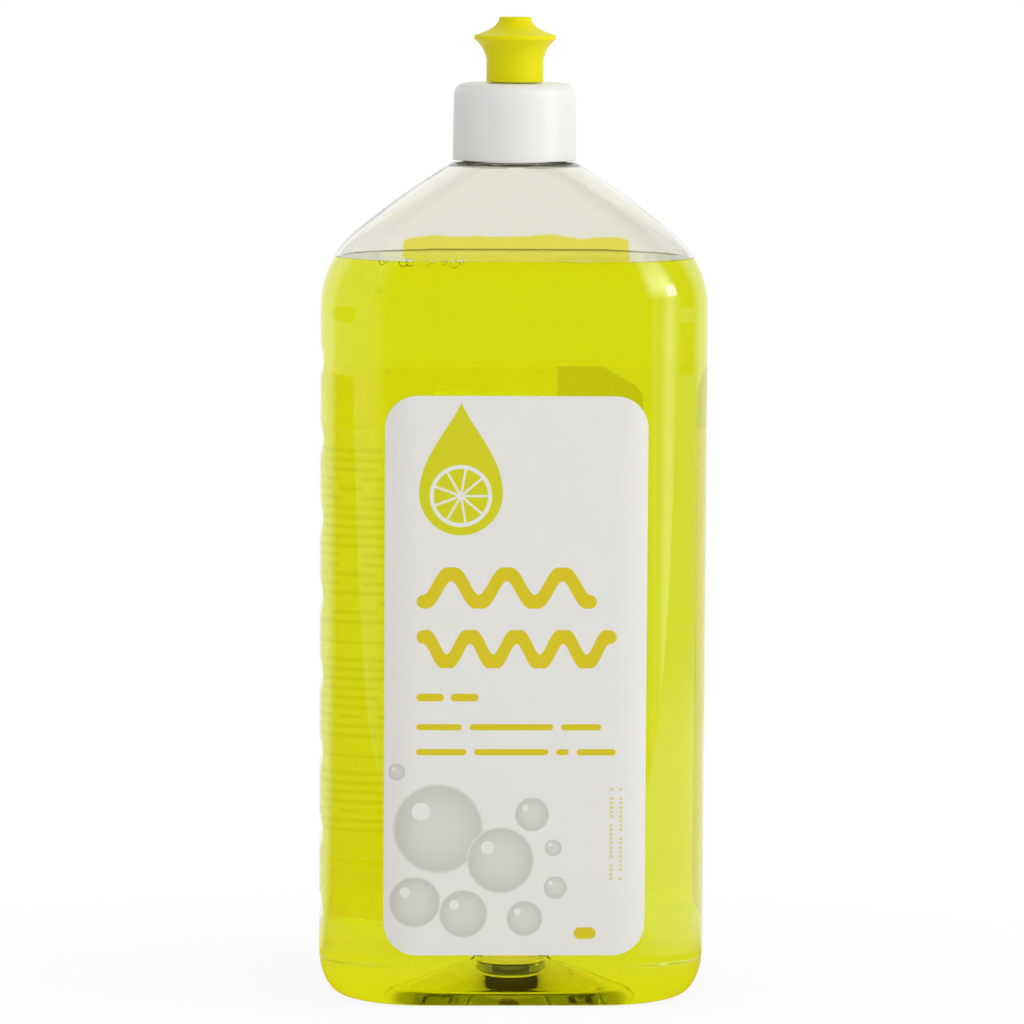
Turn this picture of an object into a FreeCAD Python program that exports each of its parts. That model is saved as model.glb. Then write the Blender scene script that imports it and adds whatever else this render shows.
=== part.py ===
import FreeCAD, Part

import math
import os

# Clear bottle with a screw cap and a push-pull spout.
# Millimetres. The origin is the centre of the base, +Z is up, and the front label faces -Y.
# The finger grooves are on the -X side.

# Body of the bottle
BODY_WIDTH = 99.4
BODY_DEPTH = 62.0
CORNER_RADIUS = 24.5
WALL = 0.6

# Heel and standing ring
HEEL_HEIGHT = 12.5
FOOT_WIDTH = 87.0
FOOT_DEPTH = 53.0
FOOT_CORNER_RADIUS = 21.4

# Hollow push-up in the middle of the base, oval in plan: a bevel, a cone and a flared crown
PUSH_UP_WIDTH = 66.0
PUSH_UP_DEPTH = 45.0
PUSH_UP_RING_WIDTH = 57.0
PUSH_UP_RING_HEIGHT = 3.0
PUSH_UP_CONE_HEIGHT = 8.5
PUSH_UP_CROWN_WIDTH = 18.0
PUSH_UP_CROWN_FLARE = 0.7
PUSH_UP_CROWN_EDGE = 1.0
PUSH_UP_HEIGHT = 13.0

# Shoulder, from the top of the straight walls to the foot of the neck
SHOULDER_START = 177.4
SHOULDER_HEIGHT = 37.3
SHOULDER_ARC = 25.4
SLOPE_ARC = 187.0
SHOULDER_ROOF = 1.6

# Neck and rim
NECK_ROOT_RADIUS = 12.45
NECK_BORE_RADIUS = 10.8
NECK_FOOT_RADIUS = 15.5
NECK_FOOT_STRAIGHT = 0.15
NECK_HEIGHT = 17.8
BEAD_RADIUS = 13.6
BEAD_RISE = 5.3
BEAD_WIDTH = 2.4

# Thread of the neck, matched by the thread in the cap
THREAD_PITCH = 3.175
THREAD_TURNS = 1.5
THREAD_CREST_RADIUS = 13.7
THREAD_BASE_WIDTH = 2.0
THREAD_CREST_WIDTH = 0.9
THREAD_TOP_LAND = 1.6
THREAD_SINK = 0.25

# Finger grooves
GRIP_COUNT = 8
GRIPS_BELOW_SHOULDER = 13.2
GRIPS_ABOVE_HEEL = 9.95
GRIP_WIDTH = 8.6
GRIP_DEPTH = 0.85

# Soap
LIQUID_IN_SHOULDER = 13.0
LIQUID_CLEARANCE = 0.1

# Labels
LABEL_THICKNESS = 0.15
LABEL_CORNER_RADIUS = 8.3
LABEL_ABOVE_HEEL = 1.4
FRONT_LABEL_WIDTH = 66.6
FRONT_LABEL_BELOW_SHOULDER = 20.4
BACK_LABEL_WIDTH = 62.6
BACK_LABEL_BELOW_SHOULDER = 16.4
BACK_LABEL_SHIFT = -1.4

# Sealing ring between the rim and the cap
LINER_THICKNESS = 1.0
LINER_INNER_RADIUS = 9.6
LINER_OUTER_RADIUS = 13.5
LINER_CLEARANCE = 0.05

# Screw cap
CAP_GAP_ABOVE_SHOULDER = 0.5
CAP_BOTTOM_RADIUS = 15.87
CAP_TOP_RADIUS = 15.55
CAP_EDGE_ROUNDING = 3.0
CAP_DECK = 1.25
CAP_BORE_RADIUS = 14.15
CAP_THREAD_CREST_RADIUS = 13.0
CAP_THREAD_BASE_WIDTH = 1.2
CAP_THREAD_CREST_WIDTH = 0.6
CAP_THREAD_TURNS = 1.5

# Post on the cap that carries the spout, and its sealing pin
POST_RADIUS = 5.6
POST_BORE_RADIUS = 4.4
POST_BEAD_RADIUS = 6.2
POST_BEAD_HEIGHT = 1.6
POST_BEAD_CHAMFER = 0.5
PIN_RADIUS = 1.65
PIN_TOP_RECESS = 0.5
SPOKE_COUNT = 3
SPOKE_WIDTH = 1.2
SPOKE_HEIGHT = 2.6

# Push-pull spout
SLIDE_CLEARANCE = 0.25
SPOUT_SEAT_GAP = 0.3
SPOUT_HEIGHT = 16.6
SPOUT_SHANK_RADIUS = 7.3
SPOUT_SHANK_HEIGHT = 5.7
SPOUT_LAND_HEIGHT = 2.6
SPOUT_TRAVEL = 5.6
SPOUT_STOP_GAP = 0.3
FLANGE_RADIUS = 10.5
FLANGE_HEIGHT = 11.0
FLANGE_RIM = 0.9
SPOUT_TIP_RADIUS = 4.2
SPOUT_TIP_STRAIGHT = 0.9
OUTLET_LENGTH = 1.5

# Places that follow from the sizes above
SHOULDER_TOP = SHOULDER_START + SHOULDER_HEIGHT
RIM_HEIGHT = SHOULDER_TOP + NECK_HEIGHT
BEAD_CENTRE = SHOULDER_TOP + BEAD_RISE
GRIP_TOP = SHOULDER_START - GRIPS_BELOW_SHOULDER
GRIP_BOTTOM = HEEL_HEIGHT + GRIPS_ABOVE_HEEL
LIQUID_LEVEL = SHOULDER_START + LIQUID_IN_SHOULDER
LABEL_BOTTOM = HEEL_HEIGHT + LABEL_ABOVE_HEEL
CAP_BOTTOM = SHOULDER_TOP + CAP_GAP_ABOVE_SHOULDER
LINER_BOTTOM = RIM_HEIGHT + LINER_CLEARANCE
DECK_UNDERSIDE = LINER_BOTTOM + LINER_THICKNESS + LINER_CLEARANCE
CAP_TOP = DECK_UNDERSIDE + CAP_DECK
THREAD_BOTTOM = RIM_HEIGHT - THREAD_TOP_LAND - THREAD_BASE_WIDTH / 2.0 - THREAD_TURNS * THREAD_PITCH
SPOUT_BOTTOM = CAP_TOP + SPOUT_SEAT_GAP
SPOUT_TOP = SPOUT_BOTTOM + SPOUT_HEIGHT
POST_BEAD_BOTTOM = SPOUT_BOTTOM + SPOUT_LAND_HEIGHT + SPOUT_TRAVEL + SPOUT_STOP_GAP
POST_TOP = POST_BEAD_BOTTOM + POST_BEAD_HEIGHT
OUTLET_RADIUS = PIN_RADIUS + SLIDE_CLEARANCE

UP = FreeCAD.Vector(0.0, 0.0, 1.0)
ORIGIN = FreeCAD.Vector(0.0, 0.0, 0.0)


def point(x, y, z):
    """A point in the part's frame."""
    return FreeCAD.Vector(x, y, z)


def cylinder(radius, bottom, top):
    """A round bar about the bottle's axis."""
    return Part.makeCylinder(radius, top - bottom, point(0.0, 0.0, bottom))


def straight(start, end):
    """A straight edge between two points."""
    return Part.LineSegment(start, end).toShape()


def turned(profile):
    """A solid turned about the bottle's axis from (radius, height) points joined by straight lines."""
    corners = [point(radius, 0.0, height) for radius, height in profile]
    edges = [straight(a, b) for a, b in zip(corners, corners[1:] + corners[:1])]
    return Part.Face(Part.Wire(edges)).revolve(ORIGIN, UP, 360.0)


def rounded_outline(half_width, half_depth, radius, height):
    """A level closed outline: four straight sides joined by four quarter circles."""
    inner_x = half_width - radius
    inner_y = half_depth - radius
    edges = []
    for turn in range(4):
        start_angle = math.radians(90.0 * turn)
        centre_x = inner_x if turn in (0, 3) else -inner_x
        centre_y = inner_y if turn in (0, 1) else -inner_y
        on_arc = []
        for part_of_turn in (0.0, 0.5, 1.0):
            angle = start_angle + part_of_turn * math.pi / 2.0
            x = centre_x + radius * math.cos(angle)
            y = centre_y + radius * math.sin(angle)
            on_arc.append(point(x, y, height))
        edges.append(Part.Arc(*on_arc).toShape())
    joined = []
    for arc, following in zip(edges, edges[1:] + edges[:1]):
        joined.append(arc)
        joined.append(straight(arc.lastVertex().Point, following.firstVertex().Point))
    return Part.Wire(joined)


def shoulder_lean(half_size):
    """Angle from level of the line where the shoulder's small arc meets the large arc of its slope.

    The large arc touches the small one and ends at the foot of the neck.
    """
    across = NECK_FOOT_RADIUS - (half_size - SHOULDER_ARC)
    rise = SHOULDER_TOP - SHOULDER_START
    reach = math.hypot(across, rise)
    between = SLOPE_ARC - SHOULDER_ARC
    cosine = (SLOPE_ARC**2 - between**2 - reach**2) / (2.0 * between * reach)
    return math.atan2(rise, across) - math.acos(cosine)


def shoulder_half_size(half_size, inset, height):
    """Distance from the axis to the shoulder at a height: a small arc, then the large arc of the slope."""
    lean = shoulder_lean(half_size)
    small_arc = SHOULDER_ARC - inset
    rise = height - SHOULDER_START
    small_centre = half_size - SHOULDER_ARC
    if rise < small_arc * math.sin(lean):
        return small_centre + math.sqrt(small_arc**2 - rise**2)
    between = SLOPE_ARC - SHOULDER_ARC
    large_arc = SLOPE_ARC - inset
    large_rise = rise + between * math.sin(lean)
    return small_centre - between * math.cos(lean) + math.sqrt(large_arc**2 - large_rise**2)


def shoulder_outline(inset, height):
    """Outline of the shoulder at a height, moved in by the inset."""
    half_width = shoulder_half_size(BODY_WIDTH / 2.0, inset, height)
    half_depth = shoulder_half_size(BODY_DEPTH / 2.0, inset, height)
    part_way = (height - SHOULDER_START) / (SHOULDER_TOP - SHOULDER_START)
    top_radius = NECK_FOOT_RADIUS - NECK_FOOT_STRAIGHT
    radius = CORNER_RADIUS + (top_radius - CORNER_RADIUS) * part_way - inset
    return rounded_outline(half_width, half_depth, radius, height)


def shoulder(inset, top):
    """The shoulder as a solid, from the straight walls up to a level top."""
    arc_end = SHOULDER_START + (SHOULDER_ARC - inset) * math.sin(shoulder_lean(BODY_WIDTH / 2.0))
    arc_steps = 7
    slope_steps = 4
    heights = [SHOULDER_START + (arc_end - SHOULDER_START) * step / arc_steps for step in range(arc_steps)]
    heights += [arc_end + (top - arc_end) * step / slope_steps for step in range(slope_steps + 1)]
    return Part.makeLoft([shoulder_outline(inset, height) for height in heights], True, False)


def heel_outline(inset, angle):
    """Outline of the heel where its quarter-round profile has turned by an angle from the foot."""
    out = math.sin(angle)
    bottom = inset
    height = bottom + (HEEL_HEIGHT - bottom) * (1.0 - math.cos(angle))
    half_width = FOOT_WIDTH / 2.0 + (BODY_WIDTH / 2.0 - inset - FOOT_WIDTH / 2.0) * out
    half_depth = FOOT_DEPTH / 2.0 + (BODY_DEPTH / 2.0 - inset - FOOT_DEPTH / 2.0) * out
    radius = FOOT_CORNER_RADIUS + (CORNER_RADIUS - inset - FOOT_CORNER_RADIUS) * out
    return rounded_outline(half_width, half_depth, radius, height)


def heel(inset):
    """The rounded heel as a solid, from the standing ring up to the straight walls."""
    steps = 7
    outlines = [heel_outline(inset, math.pi / 2.0 * step / steps) for step in range(steps + 1)]
    return Part.makeLoft(outlines, True, False)


def walls(inset):
    """The straight part of the body as a solid."""
    half_width = BODY_WIDTH / 2.0 - inset
    half_depth = BODY_DEPTH / 2.0 - inset
    outline = rounded_outline(half_width, half_depth, CORNER_RADIUS - inset, HEEL_HEIGHT)
    return Part.Face(outline).extrude(point(0.0, 0.0, SHOULDER_START - HEEL_HEIGHT))


def push_up(inset):
    """The hollow in the base as a solid: an oval cone with a flared crown in its middle."""
    foot = PUSH_UP_WIDTH / 2.0 + inset
    crown = PUSH_UP_CROWN_WIDTH / 2.0 + inset
    top = PUSH_UP_HEIGHT + inset
    below = -1.0
    profile = [
        (0.0, below),
        (foot, below),
        (foot, inset),
        (PUSH_UP_RING_WIDTH / 2.0 + inset, PUSH_UP_RING_HEIGHT + inset),
        (crown, PUSH_UP_CONE_HEIGHT + inset),
        (crown + PUSH_UP_CROWN_FLARE, top - PUSH_UP_CROWN_EDGE),
        (crown, top),
        (0.0, top),
    ]
    oval = FreeCAD.Matrix()
    oval.scale(1.0, PUSH_UP_DEPTH / PUSH_UP_WIDTH, 1.0)
    return turned(profile).transformGeometry(oval)


def grip_cutters(inset):
    """One level bar for each finger groove, as deep and wide at the side of the bottle as the groove."""
    half = GRIP_WIDTH / 2.0
    bar_radius = (half * half + GRIP_DEPTH * GRIP_DEPTH) / (2.0 * GRIP_DEPTH)
    axis_x = -BODY_WIDTH / 2.0 - bar_radius + GRIP_DEPTH
    pitch = (GRIP_TOP - GRIP_BOTTOM) / (GRIP_COUNT - 1)
    bars = []
    for index in range(GRIP_COUNT):
        start = point(axis_x, -BODY_DEPTH, GRIP_TOP - index * pitch)
        bars.append(Part.makeCylinder(bar_radius + inset, 2.0 * BODY_DEPTH, start, point(0.0, 1.0, 0.0)))
    return bars


def body_volume(inset, top):
    """Everything inside the body's surface moved in by the inset, up to a level top in the shoulder."""
    solid = walls(inset).fuse([heel(inset), shoulder(inset, top)])
    return solid.cut([push_up(inset)] + grip_cutters(inset))


def thread(root, crest, base_width, crest_width, bottom, turns):
    """A right-hand thread ridge between a root radius and a crest radius, wound about the bottle's axis."""
    helix = Part.makeHelix(THREAD_PITCH, turns * THREAD_PITCH, root)
    helix.translate(point(0.0, 0.0, bottom))
    base = base_width / 2.0
    tip = crest_width / 2.0
    corners = [
        point(root, 0.0, bottom - base),
        point(crest, 0.0, bottom - tip),
        point(crest, 0.0, bottom + tip),
        point(root, 0.0, bottom + base),
    ]
    section = Part.Wire([straight(a, b) for a, b in zip(corners, corners[1:] + corners[:1])])
    return Part.Wire(helix.Edges).makePipeShell([section], True, True)


def neck_thread():
    """The thread on the outside of the neck."""
    return thread(
        NECK_ROOT_RADIUS - THREAD_SINK,
        THREAD_CREST_RADIUS,
        THREAD_BASE_WIDTH,
        THREAD_CREST_WIDTH,
        THREAD_BOTTOM,
        THREAD_TURNS,
    )


def cap_thread():
    """The thread inside the cap, half a pitch below the ridge of the neck."""
    return thread(
        CAP_BORE_RADIUS + THREAD_SINK,
        CAP_THREAD_CREST_RADIUS,
        CAP_THREAD_BASE_WIDTH,
        CAP_THREAD_CREST_WIDTH,
        THREAD_BOTTOM - THREAD_PITCH / 2.0,
        CAP_THREAD_TURNS,
    )


def neck():
    """The neck's outside: a round wall with a bead below its thread."""
    half_bead = BEAD_WIDTH / 2.0
    bead = turned([
        (NECK_BORE_RADIUS, BEAD_CENTRE - half_bead),
        (NECK_ROOT_RADIUS, BEAD_CENTRE - half_bead),
        (BEAD_RADIUS, BEAD_CENTRE - half_bead / 2.0),
        (BEAD_RADIUS, BEAD_CENTRE + half_bead / 2.0),
        (NECK_ROOT_RADIUS, BEAD_CENTRE + half_bead),
        (NECK_BORE_RADIUS, BEAD_CENTRE + half_bead),
    ])
    wall = cylinder(NECK_ROOT_RADIUS, SHOULDER_TOP - SHOULDER_ROOF / 2.0, RIM_HEIGHT)
    return wall.fuse([bead, neck_thread()])


def bottle():
    """The blow-moulded bottle: outside less inside, with the bore of the neck."""
    inside_top = SHOULDER_TOP - SHOULDER_ROOF
    outside = body_volume(0.0, SHOULDER_TOP).fuse(neck())
    bore = cylinder(NECK_BORE_RADIUS, inside_top - 1.0, RIM_HEIGHT + 1.0)
    return outside.cut([body_volume(WALL, inside_top), bore])


def liquid():
    """The soap: the inside of the bottle up to the level it is filled to."""
    inside_top = SHOULDER_TOP - SHOULDER_ROOF
    corner = point(-BODY_WIDTH / 2.0, -BODY_DEPTH / 2.0, LIQUID_LEVEL)
    empty = Part.makeBox(BODY_WIDTH, BODY_DEPTH, SHOULDER_TOP, corner)
    return body_volume(WALL + LIQUID_CLEARANCE, inside_top).cut(empty)


def label_skin():
    """A thin skin all round the straight walls, as thick as a label."""
    half_width = BODY_WIDTH / 2.0
    half_depth = BODY_DEPTH / 2.0
    tall = point(0.0, 0.0, SHOULDER_START - HEEL_HEIGHT)
    inner = rounded_outline(half_width, half_depth, CORNER_RADIUS, HEEL_HEIGHT)
    outer = rounded_outline(
        half_width + LABEL_THICKNESS,
        half_depth + LABEL_THICKNESS,
        CORNER_RADIUS + LABEL_THICKNESS,
        HEEL_HEIGHT,
    )
    return Part.Face(outer).extrude(tall).cut(Part.Face(inner).extrude(tall))


def label(width, below_shoulder, side, shift):
    """A label with round corners on the front (side -1) or the back (side 1)."""
    height = SHOULDER_START - below_shoulder - LABEL_BOTTOM
    outline = rounded_outline(width / 2.0, height / 2.0, LABEL_CORNER_RADIUS, 0.0)
    outline.rotate(ORIGIN, point(1.0, 0.0, 0.0), 90.0)
    outline.translate(point(shift, 0.0, LABEL_BOTTOM + height / 2.0))
    stamp = Part.Face(outline).extrude(point(0.0, side * BODY_DEPTH, 0.0))
    return label_skin().common(stamp)


def liner():
    """The sealing ring that lies on the rim."""
    ring = cylinder(LINER_OUTER_RADIUS, LINER_BOTTOM, LINER_BOTTOM + LINER_THICKNESS)
    return ring.cut(cylinder(LINER_INNER_RADIUS, LINER_BOTTOM - 1.0, LINER_BOTTOM + LINER_THICKNESS + 1.0))


def cap_shell():
    """The cap's skirt and deck, with a rounded top edge."""
    edge_start = point(CAP_TOP_RADIUS, 0.0, CAP_TOP - CAP_EDGE_ROUNDING)
    edge_end = point(CAP_TOP_RADIUS - CAP_EDGE_ROUNDING, 0.0, CAP_TOP)
    lift = CAP_EDGE_ROUNDING * math.sqrt(0.5)
    edge_middle = point(
        CAP_TOP_RADIUS - CAP_EDGE_ROUNDING + lift,
        0.0,
        CAP_TOP - CAP_EDGE_ROUNDING + lift,
    )
    corners = [
        edge_end,
        point(POST_BORE_RADIUS, 0.0, CAP_TOP),
        point(POST_BORE_RADIUS, 0.0, DECK_UNDERSIDE),
        point(CAP_BORE_RADIUS, 0.0, DECK_UNDERSIDE),
        point(CAP_BORE_RADIUS, 0.0, CAP_BOTTOM),
        point(CAP_BOTTOM_RADIUS, 0.0, CAP_BOTTOM),
        edge_start,
    ]
    edges = [straight(a, b) for a, b in zip(corners, corners[1:])]
    edges.append(Part.Arc(edge_start, edge_middle, edge_end).toShape())
    return Part.Face(Part.Wire(edges)).revolve(ORIGIN, UP, 360.0)


def cap_post():
    """The hollow post that carries the spout, with the bead that stops it from coming off."""
    return turned([
        (POST_BORE_RADIUS, CAP_TOP - CAP_DECK / 2.0),
        (POST_RADIUS, CAP_TOP - CAP_DECK / 2.0),
        (POST_RADIUS, POST_BEAD_BOTTOM),
        (POST_BEAD_RADIUS, POST_BEAD_BOTTOM),
        (POST_BEAD_RADIUS, POST_TOP - POST_BEAD_CHAMFER),
        (POST_BEAD_RADIUS - POST_BEAD_CHAMFER, POST_TOP),
        (POST_BORE_RADIUS, POST_TOP),
    ])


def cap_pin():
    """The pin that closes the spout's outlet, and the spokes that hold it in the post."""
    pieces = [cylinder(PIN_RADIUS, POST_TOP - SPOKE_HEIGHT, SPOUT_TOP - PIN_TOP_RECESS)]
    reach = (POST_BORE_RADIUS + POST_RADIUS) / 2.0
    for index in range(SPOKE_COUNT):
        corner = point(0.0, -SPOKE_WIDTH / 2.0, POST_TOP - SPOKE_HEIGHT)
        spoke = Part.makeBox(reach, SPOKE_WIDTH, SPOKE_HEIGHT, corner)
        spoke.rotate(ORIGIN, UP, 360.0 * index / SPOKE_COUNT)
        pieces.append(spoke)
    return pieces


def screw_cap():
    """The cap in one piece: skirt, deck, thread, post, spokes and pin."""
    return cap_shell().fuse([cap_post(), cap_thread()] + cap_pin())


def spout():
    """The push-pull spout: a shank, a finger flange and a cone, bored to slide on the post."""
    flange = SPOUT_BOTTOM + FLANGE_HEIGHT
    shank_end = SPOUT_BOTTOM + SPOUT_SHANK_HEIGHT
    tip = SPOUT_TOP - SPOUT_TIP_STRAIGHT
    land_radius = POST_RADIUS + SLIDE_CLEARANCE
    chamber_radius = POST_BEAD_RADIUS + SLIDE_CLEARANCE
    chamber_top = POST_TOP + SPOUT_SEAT_GAP
    land_top = SPOUT_BOTTOM + SPOUT_LAND_HEIGHT
    outlet_start = SPOUT_TOP - OUTLET_LENGTH
    under = [point(SPOUT_SHANK_RADIUS, 0.0, shank_end)]
    reach = FLANGE_RADIUS - SPOUT_SHANK_RADIUS
    under_height = flange - shank_end
    under.append(point(SPOUT_SHANK_RADIUS + 0.24 * reach, 0.0, shank_end + 0.45 * under_height))
    under.append(point(SPOUT_SHANK_RADIUS + 0.56 * reach, 0.0, shank_end + 0.74 * under_height))
    under.append(point(FLANGE_RADIUS, 0.0, flange))
    over_height = tip - flange - FLANGE_RIM
    cone = [point(FLANGE_RADIUS, 0.0, flange + FLANGE_RIM)]
    over_reach = FLANGE_RADIUS - SPOUT_TIP_RADIUS
    cone.append(point(SPOUT_TIP_RADIUS + 0.42 * over_reach, 0.0, flange + FLANGE_RIM + 0.36 * over_height))
    cone.append(point(SPOUT_TIP_RADIUS + 0.13 * over_reach, 0.0, flange + FLANGE_RIM + 0.7 * over_height))
    cone.append(point(SPOUT_TIP_RADIUS, 0.0, tip))
    under_curve = Part.BSplineCurve()
    under_curve.interpolate(under)
    cone_curve = Part.BSplineCurve()
    cone_curve.interpolate(cone)
    inside = [
        point(SPOUT_TIP_RADIUS, 0.0, tip),
        point(SPOUT_TIP_RADIUS, 0.0, SPOUT_TOP),
        point(OUTLET_RADIUS, 0.0, SPOUT_TOP),
        point(OUTLET_RADIUS, 0.0, outlet_start),
        point(chamber_radius, 0.0, chamber_top),
        point(chamber_radius, 0.0, land_top),
        point(land_radius, 0.0, land_top),
        point(land_radius, 0.0, SPOUT_BOTTOM),
        point(SPOUT_SHANK_RADIUS, 0.0, SPOUT_BOTTOM),
        point(SPOUT_SHANK_RADIUS, 0.0, shank_end),
    ]
    edges = [under_curve.toShape(), straight(under[-1], cone[0]), cone_curve.toShape()]
    edges += [straight(a, b) for a, b in zip(inside, inside[1:])]
    return Part.Face(Part.Wire(edges)).revolve(ORIGIN, UP, 360.0)


def single_solid(shape):
    """The one solid in a shape, with faces that lie on one surface joined."""
    return shape.removeSplitter().Solids[0]


PIECES = {
    "bottle": bottle,
    "liquid": liquid,
    "front_label": lambda: label(FRONT_LABEL_WIDTH, FRONT_LABEL_BELOW_SHOULDER, -1.0, 0.0),
    "back_label": lambda: label(BACK_LABEL_WIDTH, BACK_LABEL_BELOW_SHOULDER, 1.0, BACK_LABEL_SHIFT),
    "liner": liner,
    "screw_cap": screw_cap,
    "spout": spout,
}

os.makedirs("parts", exist_ok=True)
for name, make in PIECES.items():
    made = make()
    solid = single_solid(made)
    solid.exportStep("parts/" + name + ".step")
    print(name, "solids", len(made.Solids), "valid", solid.isValid(), "volume", round(solid.Volume, 1))
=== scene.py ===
"""Clear bottle of yellow soap with paper-like labels, a white screw cap and a yellow push-pull spout.

Sizes are in millimetres in the part's frame, and every mesh is written in metres.
"""

import logging
import math
from dataclasses import dataclass, field
from enum import Enum
from typing import Iterable, Optional, Sequence, Union

import bmesh
import bpy
import numpy as np
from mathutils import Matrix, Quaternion, Vector


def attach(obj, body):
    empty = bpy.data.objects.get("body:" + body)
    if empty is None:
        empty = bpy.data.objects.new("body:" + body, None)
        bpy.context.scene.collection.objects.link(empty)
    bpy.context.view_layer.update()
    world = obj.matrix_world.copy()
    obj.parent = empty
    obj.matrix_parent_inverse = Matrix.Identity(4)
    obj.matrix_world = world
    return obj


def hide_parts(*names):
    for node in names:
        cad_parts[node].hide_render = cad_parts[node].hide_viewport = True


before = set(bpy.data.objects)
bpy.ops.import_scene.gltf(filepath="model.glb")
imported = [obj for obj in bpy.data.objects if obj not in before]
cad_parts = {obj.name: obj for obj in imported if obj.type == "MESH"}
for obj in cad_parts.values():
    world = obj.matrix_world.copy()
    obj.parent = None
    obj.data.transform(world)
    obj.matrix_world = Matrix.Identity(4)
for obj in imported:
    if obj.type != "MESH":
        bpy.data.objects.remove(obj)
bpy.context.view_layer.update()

MM = 0.001
FULL_TURN = 2.0 * math.pi
LOG = logging.getLogger("soap_bottle")

Number = Union[float, int]
Colour = tuple[float, float, float]
ProfilePoint = tuple[float, float, float]
FlatPoint = tuple[float, float]


# Node sheets


class Wire:
    """A number running through a node sheet, which takes part in sums like an ordinary number."""

    def __init__(self, sheet: "Sheet", socket: bpy.types.NodeSocket) -> None:
        """Holds the sheet that the number runs through and the output socket that carries it."""
        self.sheet = sheet
        self.socket = socket

    def _with(self, operation: str, *others: "Value") -> "Wire":
        """The outcome of a math operation on this number and others."""
        return self.sheet.math(operation, self, *others)

    def __add__(self, other: "Value") -> "Wire":
        """This number plus another."""
        return self._with("ADD", other)

    def __sub__(self, other: "Value") -> "Wire":
        """This number less another."""
        return self._with("SUBTRACT", other)

    def __mul__(self, other: "Value") -> "Wire":
        """This number times another."""
        return self._with("MULTIPLY", other)

    def __truediv__(self, other: "Value") -> "Wire":
        """This number divided by another."""
        return self._with("DIVIDE", other)

    def absolute(self) -> "Wire":
        """This number without its sign."""
        return self._with("ABSOLUTE")

    def at_least(self, other: "Value") -> "Wire":
        """The larger of this number and another."""
        return self._with("MAXIMUM", other)

    def at_most(self, other: "Value") -> "Wire":
        """The smaller of this number and another."""
        return self._with("MINIMUM", other)

    def hypot(self, other: "Wire") -> "Wire":
        """The length of the diagonal over this number and another."""
        return (self * self + other * other)._with("SQRT")

    def power(self, exponent: Number) -> "Wire":
        """This number to a power."""
        return self._with("POWER", exponent)

    def sine(self) -> "Wire":
        """The sine of this number."""
        return self._with("SINE")

    def cosine(self) -> "Wire":
        """The cosine of this number."""
        return self._with("COSINE")

    def less_than(self, other: "Value") -> "Wire":
        """1 where this number is less than another, and 0 elsewhere."""
        return self._with("LESS_THAN", other)

    def complement(self) -> "Wire":
        """One less this number."""
        return self * -1.0 + 1.0

    def between(self, low: Number, high: Number) -> "Wire":
        """A soft step of this number from 0 at low to 1 at high."""
        return self.sheet.remap(self, low, high, 0.0, 1.0)


Value = Union[Wire, Number]


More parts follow.
